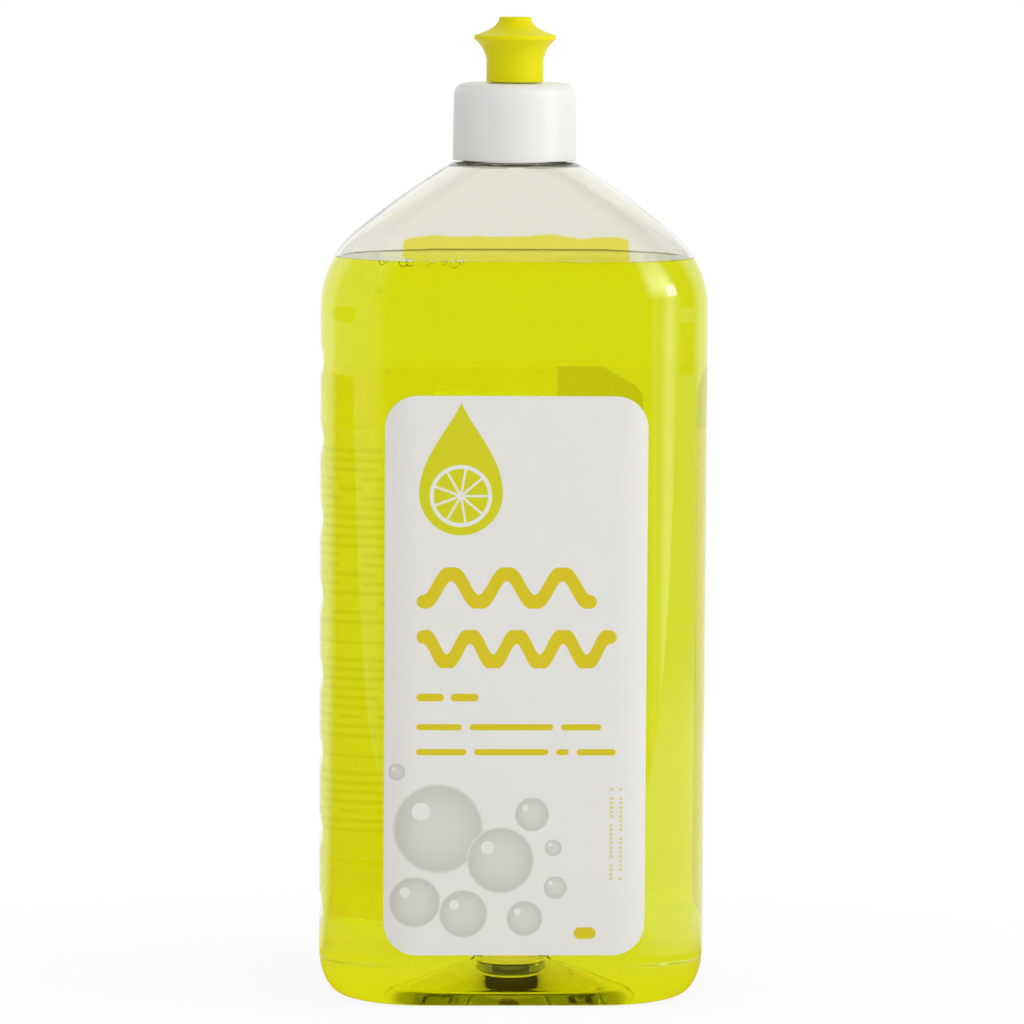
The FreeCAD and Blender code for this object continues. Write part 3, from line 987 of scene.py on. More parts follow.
def make_object(name: str, points: np.ndarray, faces: Sequence[Sequence[int]], finishes: Sequence[Finish],
                finish_of_face: Optional[Sequence[int]] = None) -> bpy.types.Object:
    """Makes a smooth mesh object from millimetre points, with its faces turned outwards.

    Args:
        name: The object's name.
        points: Points in millimetres.
        faces: Corners of each face.
        finishes: The object's finishes.
        finish_of_face: Number of each face's finish, or none where all have the first.

    Returns:
        The new object, at the origin.
    """
    mesh = bpy.data.meshes.new(name)
    mesh.from_pydata((np.asarray(points) * MM).tolist(), [], [list(face) for face in faces])
    if finish_of_face is not None:
        mesh.polygons.foreach_set("material_index", np.asarray(finish_of_face, dtype=np.int32))
    for finish in finishes:
        mesh.materials.append(finish.material())
    if signed_volume(mesh) < 0.0:
        mesh.flip_normals()
    mesh.shade_smooth()
    mesh.update()
    made = bpy.data.objects.new(name, mesh)
    bpy.context.scene.collection.objects.link(made)
    return made


def signed_volume(mesh: bpy.types.Mesh) -> float:
    """The volume inside a mesh, below zero where its faces point inwards.

    Args:
        mesh: The mesh.

    Returns:
        The volume, in cubic metres.
    """
    mesh.calc_loop_triangles()
    corners = np.empty(len(mesh.loop_triangles) * 3, dtype=np.int32)
    mesh.loop_triangles.foreach_get("vertices", corners)
    points = np.empty(len(mesh.vertices) * 3, dtype=np.float32)
    mesh.vertices.foreach_get("co", points)
    triangles = points.reshape(-1, 3).astype(float)[corners.reshape(-1, 3)]
    slants = np.cross(triangles[:, 1], triangles[:, 2])
    return float(np.einsum("ij,ij->i", triangles[:, 0], slants).sum() / 6.0)


def stacked_faces(ring_count: int, ring_size: int, looped: bool) -> list[list[int]]:
    """Faces that join a stack of rings, whose points come first.

    Args:
        ring_count: Number of rings.
        ring_size: Points in each ring.
        looped: Whether the last ring joins the first. If not, a point closes each end of the stack, and the
            two follow the rings' points.

    Returns:
        The faces, ring by ring, with the fans of the closing points last.
    """
    faces = []
    for ring in range(ring_count if looped else ring_count - 1):
        here = ring * ring_size
        there = (ring + 1) % ring_count * ring_size
        for spot in range(ring_size):
            following = (spot + 1) % ring_size
            faces.append([here + spot, here + following, there + following, there + spot])
    if not looped:
        pole = ring_count * ring_size
        last = pole - ring_size
        faces += [[pole, (spot + 1) % ring_size, spot] for spot in range(ring_size)]
        faces += [[pole + 1, last + spot, last + (spot + 1) % ring_size] for spot in range(ring_size)]
    return faces


def stacked(name: str, rings: Sequence[np.ndarray], finishes: Sequence[Finish],
            finish_of_face: Optional[Sequence[int]] = None, looped: bool = False) -> bpy.types.Object:
    """Makes an object from a stack of level rings about the bottle's axis.

    Args:
        name: The object's name.
        rings: The rings, with as many points each.
        finishes: The object's finishes.
        finish_of_face: Number of each face's finish, or none where all have the first.
        looped: Whether the last ring joins the first. If not, each end closes to a point on the axis.

    Returns:
        The new object.
    """
    points = np.concatenate(rings)
    if not looped:
        points = np.concatenate([points, [[0.0, 0.0, ring[0, 2]] for ring in (rings[0], rings[-1])]])
    faces = stacked_faces(len(rings), len(rings[0]), looped)
    return make_object(name, points, faces, finishes, finish_of_face)


def rounded_profile(corners: Sequence[ProfilePoint], looped: bool, steps: int = 5) -> list[FlatPoint]:
    """A line of (radius, height) points with an arc at each corner that has a rounding.

    Args:
        corners: Radius, height and rounding of each corner.
        looped: Whether the line closes on itself.
        steps: Pieces in each arc.

    Returns:
        The points of the line.
    """
    line: list[FlatPoint] = []
    count = len(corners)
    for index, (radius, height, rounding) in enumerate(corners):
        at_end = not looped and index in (0, count - 1)
        if rounding <= 0.0 or at_end:
            line.append((radius, height))
            continue
        here = np.array((radius, height))
        before = np.array(corners[index - 1][:2]) - here
        after = np.array(corners[(index + 1) % count][:2]) - here
        before_length, after_length = np.linalg.norm(before), np.linalg.norm(after)
        before, after = before / before_length, after / after_length
        half = math.acos(max(-1.0, min(1.0, float(before @ after)))) / 2.0
        if half > math.pi / 2.0 - 0.01:
            line.append((radius, height))
            continue
        reach = min(rounding / math.tan(half), 0.48 * before_length, 0.48 * after_length)
        arc = reach * math.tan(half)
        middle = here + (before + after) / np.linalg.norm(before + after) * arc / math.sin(half)
        start, end = here + before * reach - middle, here + after * reach - middle
        turn = math.atan2(start[0] * end[1] - start[1] * end[0], float(start @ end))
        for step in range(steps + 1):
            angle = turn * step / steps
            cosine, sine = math.cos(angle), math.sin(angle)
            across = middle[0] + start[0] * cosine - start[1] * sine
            rise = middle[1] + start[0] * sine + start[1] * cosine
            line.append((across, rise))
    return line


def spline(points: Sequence[FlatPoint], steps: int) -> list[FlatPoint]:
    """A smooth line through points: a natural cubic spline over the distances between them.

    Args:
        points: The points that the line goes through.
        steps: Number of pieces of the line.

    Returns:
        The points of the line, ends included.
    """
    given = np.array(points)
    at = np.concatenate([[0.0], np.cumsum(np.linalg.norm(np.diff(given, axis=0), axis=1))])
    gap = np.diff(at)
    count = len(at)
    matrix = np.eye(count)
    right = np.zeros((count, 2))
    for index in range(1, count - 1):
        matrix[index, index - 1] = gap[index - 1]
        matrix[index, index] = 2.0 * (gap[index - 1] + gap[index])
        matrix[index, index + 1] = gap[index]
        ahead = (given[index + 1] - given[index]) / gap[index]
        behind = (given[index] - given[index - 1]) / gap[index - 1]
        right[index] = 6.0 * (ahead - behind)
    curve = np.linalg.solve(matrix, right)
    line = []
    for place in np.linspace(0.0, at[-1], steps + 1):
        index = min(int(np.searchsorted(at, place, side="right")) - 1, count - 2)
        left, rest = place - at[index], at[index + 1] - place
        value = (curve[index] * rest**3 + curve[index + 1] * left**3) / (6.0 * gap[index])
        value += (given[index] / gap[index] - curve[index] * gap[index] / 6.0) * rest
        value += (given[index + 1] / gap[index] - curve[index + 1] * gap[index] / 6.0) * left
        line.append((float(value[0]), float(value[1])))
    return line


def dense(line: Sequence[FlatPoint], longest: float, looped: bool) -> list[FlatPoint]:
    """The same line with points added where two are further apart than a length.

    Args:
        line: The line.
        longest: The length.
        looped: Whether the line closes on itself.

    Returns:
        The points of the line.
    """
    made = []
    pairs = list(zip(line, list(line[1:]) + ([line[0]] if looped else [])))
    for (r0, z0), (r1, z1) in pairs:
        parts = max(1, math.ceil(math.hypot(r1 - r0, z1 - z0) / longest))
        made += [(r0 + (r1 - r0) * part / parts, z0 + (z1 - z0) * part / parts) for part in range(parts)]
    return made if looped else made + [line[-1]]


def turned(name: str, line: Sequence[FlatPoint], finish: Finish, looped: bool,
           points_round: int = 120) -> bpy.types.Object:
    """A mesh turned about the bottle's axis from a line of (radius, height) points.

    Args:
        name: The object's name.
        line: The profile, which starts and ends on the axis unless it is looped.
        finish: The object's finish.
        looped: Whether the profile closes on itself, away from the axis.
        points_round: Points in each ring.

    Returns:
        The new object.
    """
    angles = np.linspace(0.0, FULL_TURN, points_round, endpoint=False)
    circle = np.stack([np.cos(angles), np.sin(angles)], axis=1)
    ring_line = line if looped else line[1:-1]
    rings = [
        np.column_stack([circle * radius, np.full(points_round, height)]) for radius, height in ring_line
    ]
    return stacked(name, rings, [finish], looped=looped)


# Geometry Nodes


class Growth:
    """A Geometry Nodes tree that makes one piece, with named inputs for its sizes."""

    def __init__(self, name: str) -> None:
        """Starts an empty tree that takes and gives geometry.

        Args:
            name: The tree's name.
        """
        self.tree = bpy.data.node_groups.new(name, "GeometryNodeTree")
        self.tree.interface.new_socket("Geometry", in_out="INPUT", socket_type="NodeSocketGeometry")
        self.tree.interface.new_socket("Geometry", in_out="OUTPUT", socket_type="NodeSocketGeometry")
        self.values: dict[str, object] = {}
        self.start = self.tree.nodes.new("NodeGroupInput")
        self.end = self.tree.nodes.new("NodeGroupOutput")

    def size(self, name: str, value: object, kind: str = "Float") -> bpy.types.NodeSocket:
        """Adds a named input with its value and returns its socket.

        Args:
            name: The input's name.
            value: Its value.
            kind: Its type of socket.

        Returns:
            Its socket in the tree.
        """
        self.tree.interface.new_socket(name, in_out="INPUT", socket_type="NodeSocket" + kind)
        self.values[name] = value
        return next(socket for socket in self.start.outputs if socket.name == name)

    def node(self, kind: str, inputs: Optional[dict[Union[str, int], object]] = None,
             **settings: object) -> bpy.types.Node:
        """Adds a node, with its settings and its inputs by name or number.

        Args:
            kind: The node's type name.
            inputs: Values or sockets for its inputs, by name or number.
            settings: Values for the node's own settings.

        Returns:
            The new node.
        """
        made = self.tree.nodes.new(kind)
        for name, value in settings.items():
            setattr(made, name, value)
        for key, value in (inputs or {}).items():
            if isinstance(value, bpy.types.NodeSocket):
                self.tree.links.new(value, made.inputs[key])
            else:
                made.inputs[key].default_value = value
        return made

    def grow(self, name: str, geometry: bpy.types.NodeSocket, finish: Finish,
             seed_points: Sequence[Sequence[float]] = ((0.0, 0.0, 0.0),)) -> bpy.types.Object:
        """Ends the tree, runs it on a new object and bakes the outcome to a plain mesh.

        Args:
            name: The object's name.
            geometry: The tree's last geometry.
            finish: The finish that the tree sets.
            seed_points: Points in millimetres that the tree starts from.

        Returns:
            The baked object, with no modifier.
        """
        realised = self.node("GeometryNodeRealizeInstances", {0: geometry})
        material = self.node("GeometryNodeSetMaterial", {"Geometry": realised.outputs[0]})
        material.inputs["Material"].default_value = finish.material()
        self.tree.links.new(material.outputs[0], self.end.inputs[0])
        mesh = bpy.data.meshes.new(name + "_seed")
        mesh.from_pydata([[c * MM for c in point] for point in seed_points], [], [])
        holder = bpy.data.objects.new(name + "_seed", mesh)
        bpy.context.scene.collection.objects.link(holder)
        modifier = holder.modifiers.new("Growth", "NODES")
        modifier.node_group = self.tree
        for item in self.tree.interface.items_tree:
            if item.in_out == "INPUT" and item.name in self.values:
                modifier[item.identifier] = self.values[item.name]
        ready = holder.evaluated_get(bpy.context.evaluated_depsgraph_get())
        baked = bpy.data.meshes.new_from_object(ready)
        bpy.data.objects.remove(holder)
        clean_up(baked)
        baked.name = name
        made = bpy.data.objects.new(name, baked)
        bpy.context.scene.collection.objects.link(made)
        return made


def clean_up(mesh: bpy.types.Mesh) -> None:
    """Merges doubles, turns all faces outwards and shades the mesh smooth.

    Args:
        mesh: The mesh.
    """
    shape = bmesh.new()
    shape.from_mesh(mesh)
    bmesh.ops.remove_doubles(shape, verts=shape.verts, dist=1e-7)
    bmesh.ops.recalc_face_normals(shape, faces=shape.faces)
    shape.to_mesh(mesh)
    shape.free()
    mesh.shade_smooth()


def thread_ridge(name: str, root: float, crest: float, base_width: float, crest_width: float, bottom: float,
                 finish: Finish) -> bpy.types.Object:
    """A right-hand thread ridge wound about the bottle's axis.

    Args:
        name: The object's name.
        root: Radius of the ridge's foot.
        crest: Radius of its crest.
        base_width: Its width at the foot.
        crest_width: Its width at the crest.
        bottom: Height of the middle of its lower end.
        finish: Its finish.

    Returns:
        The ridge.
    """
    growth = Growth(name)
    middle = (root + crest) / 2.0
    radius = growth.size("Middle Radius", middle * MM)
    rise = growth.size("Rise", THREAD.turns * THREAD.pitch * MM)
    spiral = growth.node("GeometryNodeCurveSpiral", {
        "Resolution": 96, "Rotations": THREAD.turns, "Start Radius": radius, "End Radius": radius,
        "Height": rise,
    })
    lifted = growth.node(
        "GeometryNodeTransform", {"Geometry": spiral.outputs[0], "Translation": (0.0, 0.0, bottom * MM)}
    )
    level = growth.node("GeometryNodeSetCurveNormal", {"Curve": lifted.outputs[0]}, mode="Z_UP")
    section = growth.node(
        "GeometryNodeCurvePrimitiveQuadrilateral",
        {
            "Height": abs(crest - root) * MM, "Bottom Width": base_width * MM, "Top Width": crest_width * MM,
            "Offset": 0.0,
        },
        mode="TRAPEZOID",
    )
    quarter = math.copysign(FULL_TURN / 4.0, crest - root)
    turned_section = growth.node(
        "GeometryNodeTransform", {"Geometry": section.outputs[0], "Rotation": (0.0, 0.0, quarter)}
    )
    swept = growth.node("GeometryNodeCurveToMesh", {
        "Curve": level.outputs[0], "Profile Curve": turned_section.outputs[0], "Fill Caps": True,
    })
    return growth.grow(name, swept.outputs[0], finish)


# Bottle


@dataclass(frozen=True)
class ThreadSizes:
    """The thread that the neck and the cap share."""

    pitch: float = 3.175
    turns: float = 1.5
    neck_bottom: float = 225.1375


THREAD = ThreadSizes()
THREAD_ROOTED = 0.25


@dataclass
class BottleShape:
    """The bottle's outer form, which its wall, its soap and its labels follow."""

    width: float = 99.4
    depth: float = 62.0
    corner: float = 24.5
    wall: float = 0.6
    heel_height: float = 12.5
    foot_width: float = 87.0
    foot_depth: float = 53.0
    foot_corner: float = 21.4
    push_up_depth_share: float = 45.0 / 66.0
    shoulder_start: float = 177.4
    shoulder_height: float = 37.3
    shoulder_arc: float = 25.4
    slope_arc: float = 187.0
    neck_foot: float = 15.5
    grip_count: int = 8
    grip_top: float = 164.2
    grip_bottom: float = 22.45
    grip_width: float = 8.6
    grip_depth: float = 0.85
    grip_softness: float = 0.09
    points_round: int = 216
    directions: np.ndarray = field(init=False)

    def __post_init__(self) -> None:
        """Finds the directions of points spaced evenly round the body."""
        angles = np.linspace(0.0, FULL_TURN, 20001)
        rays = np.stack([np.cos(angles), np.sin(angles)], axis=1)
        round_body = self.outline(self.width / 2.0, self.depth / 2.0, self.corner, rays)
        run = np.concatenate([[0.0], np.cumsum(np.linalg.norm(np.diff(round_body, axis=0), axis=1))])
        even = np.interp(np.linspace(0.0, run[-1], self.points_round, endpoint=False), run, angles)
        self.directions = np.stack([np.cos(even), np.sin(even)], axis=1)

    @property
    def shoulder_top(self) -> float:
        """Height of the foot of the neck."""
        return self.shoulder_start + self.shoulder_height

    @staticmethod
    def outline(half_width: float, half_depth: float, corner: float, rays: np.ndarray) -> np.ndarray:
        """Points where rays from the axis meet a rectangle with round corners.

        Args:
            half_width: Half of its width.
            half_depth: Half of its depth.
            corner: Radius of its corners.
            rays: Directions of the rays, one in each row.

        Returns:
            The points, one in each row.
        """
        across, deep = np.abs(rays[:, 0]), np.abs(rays[:, 1])
        flat_x, flat_y = half_width - corner, half_depth - corner
        side = half_width / np.maximum(across, 1e-9)
        front = half_depth / np.maximum(deep, 1e-9)
        along = flat_x * across + flat_y * deep
        arc = along + np.sqrt(np.maximum(along**2 - flat_x**2 - flat_y**2 + corner**2, 0.0))
        reach = np.where(side * deep <= flat_y, side, np.where(front * across <= flat_x, front, arc))
        return rays * reach[:, None]

    def shoulder_lean(self, half_size: float) -> float:
        """Angle of the line where the shoulder's small arc meets the large one.

        Args:
            half_size: Half of the body's width or depth.

        Returns:
            The angle over level.
        """
        across = self.neck_foot - (half_size - self.shoulder_arc)
        rise = self.shoulder_height
        reach = math.hypot(across, rise)
        between = self.slope_arc - self.shoulder_arc
        cosine = (self.slope_arc**2 - between**2 - reach**2) / (2.0 * between * reach)
        return math.atan2(rise, across) - math.acos(cosine)

    def shoulder_half_size(self, half_size: float, inset: float, height: float) -> float:
        """Distance from the axis to the shoulder at a height.

        Args:
            half_size: Half of the body's width or depth.
            inset: Distance in from the outside.
            height: The height.

        Returns:
            The distance.
        """
        lean = self.shoulder_lean(half_size)
        small_arc = self.shoulder_arc - inset
        rise = height - self.shoulder_start
        small_centre = half_size - self.shoulder_arc
        if rise < small_arc * math.sin(lean):
            return small_centre + math.sqrt(small_arc**2 - rise**2)
        between = self.slope_arc - self.shoulder_arc
        large_rise = rise + between * math.sin(lean)
        large_centre = small_centre - between * math.cos(lean)
        return large_centre + math.sqrt((self.slope_arc - inset) ** 2 - large_rise**2)

    def level(self, inset: float, height: float) -> np.ndarray:
        """A level ring of the body, moved in by an inset, with the finger grooves.

        Args:
            inset: Distance in from the outside.
            height: Height of the ring, from the foot to the top of the shoulder.

        Returns:
            The ring's points.
        """
        half_width = self.width / 2.0 - inset
        half_depth = self.depth / 2.0 - inset
        corner = self.corner - inset
        if height > self.shoulder_start:
            half_width = self.shoulder_half_size(self.width / 2.0, inset, height)
            half_depth = self.shoulder_half_size(self.depth / 2.0, inset, height)
            part_way = (height - self.shoulder_start) / self.shoulder_height
            corner = self.corner + (self.neck_foot - 0.15 - self.corner) * part_way - inset
        elif height < self.heel_height:
            cosine = 1.0 - (height - inset) / (self.heel_height - inset)
            out = math.sqrt(max(0.0, 1.0 - cosine**2))
            half_width = self.foot_width / 2.0 + (half_width - self.foot_width / 2.0) * out
            half_depth = self.foot_depth / 2.0 + (half_depth - self.foot_depth / 2.0) * out
            corner = self.foot_corner + (corner - self.foot_corner) * out
        ring = self.outline(half_width, half_depth, corner, self.directions)
        self._press_grips(ring, inset, height)
        return np.column_stack([ring, np.full(len(ring), height)])

    def grip_centres(self) -> list[float]:
        """Heights of the finger grooves."""
        return list(np.linspace(self.grip_bottom, self.grip_top, self.grip_count))

    def _press_grips(self, ring: np.ndarray, inset: float, height: float) -> None:
        """Presses the finger grooves into the left side of a ring.

        Args:
            ring: Points of the ring, which are moved.
            inset: Distance in from the outside.
            height: Height of the ring.
        """
        half = self.grip_width / 2.0
        bar_radius = (half**2 + self.grip_depth**2) / (2.0 * self.grip_depth)
        axis = -self.width / 2.0 - bar_radius + self.grip_depth
        for centre in self.grip_centres():
            off = height - centre
            if abs(off) < half + 3.0:
                groove = axis + math.sqrt((bar_radius + inset) ** 2 - off**2)
                over = np.clip((groove - ring[:, 0]) / self.grip_softness, -40.0, 40.0)
                ring[:, 0] += self.grip_softness * np.log1p(np.exp(over))

    def circle(self, radius: float, height: float) -> np.ndarray:
        """A round ring in the body's directions."""
        return np.column_stack([self.directions * radius, np.full(len(self.directions), height)])

    def oval(self, radius: float, height: float) -> np.ndarray:
        """A ring of the hollow in the base, narrower from front to back.

        Args:
            radius: Half of its width.
            height: Its height.

        Returns:
            The ring's points.
        """
        squeeze = self.directions / np.array([1.0, self.push_up_depth_share])
        reach = radius / np.linalg.norm(squeeze, axis=1)
        return np.column_stack([self.directions * reach[:, None], np.full(len(self.directions), height)])

    def base_rings(self, inset: float) -> list[np.ndarray]:
        """Rings of the base from the middle of the hollow out to the standing ring.

        Args:
            inset: Distance in from the outside.

        Returns:
            The rings.
        """
        line = rounded_profile([
            (0.0, 13.0 + inset, 0.0),
            (9.0 + inset, 13.0 + inset, 0.6),
            (9.7 + inset, 12.0 + inset, 0.5),
            (9.0 + inset, 8.5 + inset, 1.2),
            (28.5 + inset, 3.0 + inset, 3.0),
            (33.0 + inset, inset, 1.6),
            (36.0 + inset, inset, 0.0),
        ], False, 4)
        line = dense(line, 2.6, False)[1:-1]
        rings = [self.oval(radius, height) for radius, height in line]
        foot = self.outline(self.foot_width / 2.0, self.foot_depth / 2.0, self.foot_corner, self.directions)
        foot_ring = np.column_stack([foot, np.full(len(foot), inset)])
        last = rings[-1]
        for share in (0.35, 0.7):
            rings.append(last + (foot_ring - last) * share)
        return rings

    def wall_heights(self, bottom: float, top: float) -> list[float]:
        """Ring heights from the foot to the top of the shoulder, closer together in the grooves.

        Args:
            bottom: Height of the lowest ring.
            top: Height of the highest.

        Returns:
            The heights, from the lowest.
        """
        heights = [self.heel_height * (1.0 - math.cos(math.pi / 2.0 * step / 13.0)) for step in range(14)]
        half = self.grip_width / 2.0 + 0.5
        for centre in self.grip_centres():
            heights += [centre + half * step / 5.0 for step in range(-5, 6)]
        lean = self.shoulder_lean(self.width / 2.0)
        heights += [170.5, 174.0]
        steps = 22
        rises = [math.sin(lean * step / steps) for step in range(steps + 1)]
        heights += [self.shoulder_start + self.shoulder_arc * rise for rise in rises]
        arc_end = heights[-1]
        heights += [arc_end + (self.shoulder_top - arc_end) * step / 9.0 for step in range(1, 10)]
        return [height for height in heights if bottom <= height <= top]


@dataclass
class SoapLevel:
    """The surface of the soap and the rim where it climbs the wall."""

    level: float = 190.4
    climb: float = 0.2
    climb_reach: float = 0.3

    @property
    def contact(self) -> float:
        """Height where the soap meets the wall."""
        return self.level + self.climb


@dataclass
class Bottle:
    """The clear bottle: its wall, neck and thread."""

    shape: BottleShape
    soap: SoapLevel
    rim: float = 232.5
    neck_root: float = 12.45
    neck_bore: float = 10.8
    bead_radius: float = 13.6
    bead_centre: float = 220.0
    bead_width: float = 2.4
    thread_crest: float = 13.7
    roof: float = 0.75

    def outer_rings(self) -> list[np.ndarray]:
        """Rings of the outside, from the middle of the base up to the rim.

        Returns:
            The rings.
        """
        shape = self.shape
        rings = shape.base_rings(0.0)
        rings += [shape.level(0.0, height) for height in shape.wall_heights(0.0, shape.shoulder_top - 0.8)]
        top = shape.shoulder_top
        rings.append(shape.level(0.0, top - 0.25))
        half = self.bead_width / 2.0
        line = rounded_profile([
            (15.9, top - 0.3, 0.0),
            (15.2, top, 0.3),
            (self.neck_root, top, 1.0),
            (self.neck_root, self.bead_centre - half, 0.5),
            (self.bead_radius, self.bead_centre - half / 2.0, 0.35),
            (self.bead_radius, self.bead_centre + half / 2.0, 0.35),
            (self.neck_root, self.bead_centre + half, 0.5),
            (self.neck_root, self.rim, 0.45),
            (self.neck_bore, self.rim, 0.45),
            (self.neck_bore, self.rim - 6.0, 0.0),
        ], False, 4)
        rings += [shape.circle(radius, height) for radius, height in dense(line, 2.0, False)[1:]]
        return rings

    def inner_rings(self) -> list[np.ndarray]:
        """Rings of the inside, from the bore down to the middle of the base.

        Returns:
            The rings.
        """
        shape, wall = self.shape, self.shape.wall
        roof = shape.shoulder_top - self.roof
        heights = sorted({*shape.wall_heights(wall, roof - 0.4), roof - 0.3, self.soap.contact})
        line = rounded_profile([
            (self.neck_bore, self.rim - 6.0, 0.0),
            (self.neck_bore, roof, 0.7),
            (15.0, roof, 0.25),
            (15.4, roof - 0.2, 0.0),
        ], False)
        rings = [shape.circle(radius, height) for radius, height in dense(line, 2.5, False)[1:-1]]
        rings += [shape.level(wall, height) for height in reversed(heights)]
        return rings + shape.base_rings(wall)[::-1]

    def build(self) -> list[bpy.types.Object]:
        """Makes the bottle and its thread.

        Returns:
            The wall and the thread ridge.
        """
        outer, inner = self.outer_rings(), self.inner_rings()
        rings = outer + inner
        size = self.shape.points_round
        contact = self.soap.contact + 1e-6
        finish_of_face = []
        for band in range(len(rings) - 1):
            wet = band >= len(outer) and max(rings[band][0, 2], rings[band + 1][0, 2]) <= contact
            finish_of_face += [1 if wet else 0] * size
        finish_of_face += [0] * size + [1] * size
        dry = ClearWall()
        wetted = ClearWall(name="wetted_pet", bending=PLASTIC_BENDING / SOAP_BENDING)
        wall = stacked("bottle_wall", rings, [dry, wetted], finish_of_face)
        ridge = thread_ridge(
            "neck_thread", self.neck_root - THREAD_ROOTED, self.thread_crest, 2.0, 0.9,
            THREAD.neck_bottom, dry,
        )
        for piece in (wall, ridge):
            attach(piece, "bottle")
            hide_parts("bottle")
        return [wall, ridge]


@dataclass
class SoapFill:
    """The soap in the bottle, with bubbles at its surface and in its upper part."""

    shape: BottleShape
    level: SoapLevel
    overlap: float = 0.03
    surface_bubbles: int = 9
    deep_bubbles: int = 170

    def build(self) -> list[bpy.types.Object]:
        """Makes the soap and its bubbles.

        Returns:
            The soap, the row of bubbles at the wall and the small ones below.
        """
        inset = self.shape.wall - self.overlap
        contact = self.level.contact
        rings = self.shape.base_rings(inset)
        heights = [*self.shape.wall_heights(inset, contact), contact]
        rings += [self.shape.level(inset, height) for height in heights]
        for away in (0.15, 0.4, 0.8, 1.3, 2.0, 3.0, 4.5):
            ring = self.shape.level(inset + away, contact)
            ring[:, 2] = self.level.level + self.level.climb * math.exp(-away / self.level.climb_reach)
            rings.append(ring)
        last = rings[-1]
        for share in (0.8, 0.6, 0.4, 0.2):
            rings.append(np.column_stack([last[:, :2] * share, np.full(len(last), self.level.level)]))
        soap = stacked("soap", rings, [Soap()])
        pieces = [soap, self._row_of_bubbles(), self._small_bubbles()]
        for piece in pieces:
            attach(piece, "bottle")
        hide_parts("liquid")
        return pieces

    @staticmethod
    def _balls(growth: Growth, points: bpy.types.NodeSocket, seed: bpy.types.NodeSocket,
               subdivisions: int) -> bpy.types.NodeSocket:
        """Puts balls of random sizes on points.

        Args:
            growth: The tree, with inputs named Smallest and Largest.
            points: The points.
            seed: Number that the random sizes start from.
            subdivisions: How finely each ball is divided.

        Returns:
            The balls.
        """
        small, large = (growth.start.outputs[name] for name in ("Smallest", "Largest"))
        spread = growth.node("FunctionNodeRandomValue", {2: small, 3: large, "Seed": seed}, data_type="FLOAT")
        ball = growth.node("GeometryNodeMeshIcoSphere", {"Radius": 1.0, "Subdivisions": subdivisions})
        return growth.node("GeometryNodeInstanceOnPoints", {
            "Points": points, "Instance": ball.outputs[0], "Scale": spread.outputs[1],
        }).outputs[0]

    def _row_of_bubbles(self) -> bpy.types.Object:
        """The row of foam bubbles where the soap meets the front wall, on the left.

        Returns:
            The bubbles.
        """
        ring = self.shape.level(self.shape.wall + 1.2, self.level.level - 0.1)
        front = ring[(ring[:, 1] < 0.0) & (ring[:, 0] < -12.0) & (ring[:, 0] > -34.5)]
        front = front[np.argsort(front[:, 0])]
        growth = Growth("surface_bubbles")
        growth.size("Smallest", 0.5 * MM)
        growth.size("Largest", 1.25 * MM)
        seed = growth.size("Seed", 9, "Int")
        drift = growth.node(
            "FunctionNodeRandomValue",
            {0: (-0.0012, 0.0, -0.0006), 1: (0.0012, 0.0006, 0.0002), "Seed": seed},
            data_type="FLOAT_VECTOR",
        )
        strewn = growth.node(
            "GeometryNodeSetPosition",
            {"Geometry": growth.start.outputs["Geometry"], "Offset": drift.outputs[0]},
        )
        placed = self._balls(growth, strewn.outputs[0], seed, 4)
        run = np.linspace(0.0, len(front) - 1.0, self.surface_bubbles)
        spots = [[float(np.interp(at, range(len(front)), front[:, axis])) for axis in range(3)] for at in run]
        return growth.grow("surface_bubbles", placed, AirBubble(), spots)

    def _small_bubbles(self) -> bpy.types.Object:
        """Tiny air bubbles hanging in the upper soap.

        Returns:
            The bubbles.
        """
        growth = Growth("small_bubbles")
        growth.size("Smallest", 0.10 * MM)
        growth.size("Largest", 0.26 * MM)
        count = growth.size("Count", self.deep_bubbles, "Int")
        seed = growth.size("Seed", 5, "Int")
        place = growth.node(
            "FunctionNodeRandomValue",
            {0: (-0.040, -0.024, 0.130), 1: (0.040, 0.024, 0.187), "Seed": seed}, data_type="FLOAT_VECTOR",
        )
        points = growth.node("GeometryNodePoints", {"Count": count, "Position": place.outputs[0]})
        return growth.grow("small_bubbles", self._balls(growth, points.outputs[0], seed, 2), AirBubble())


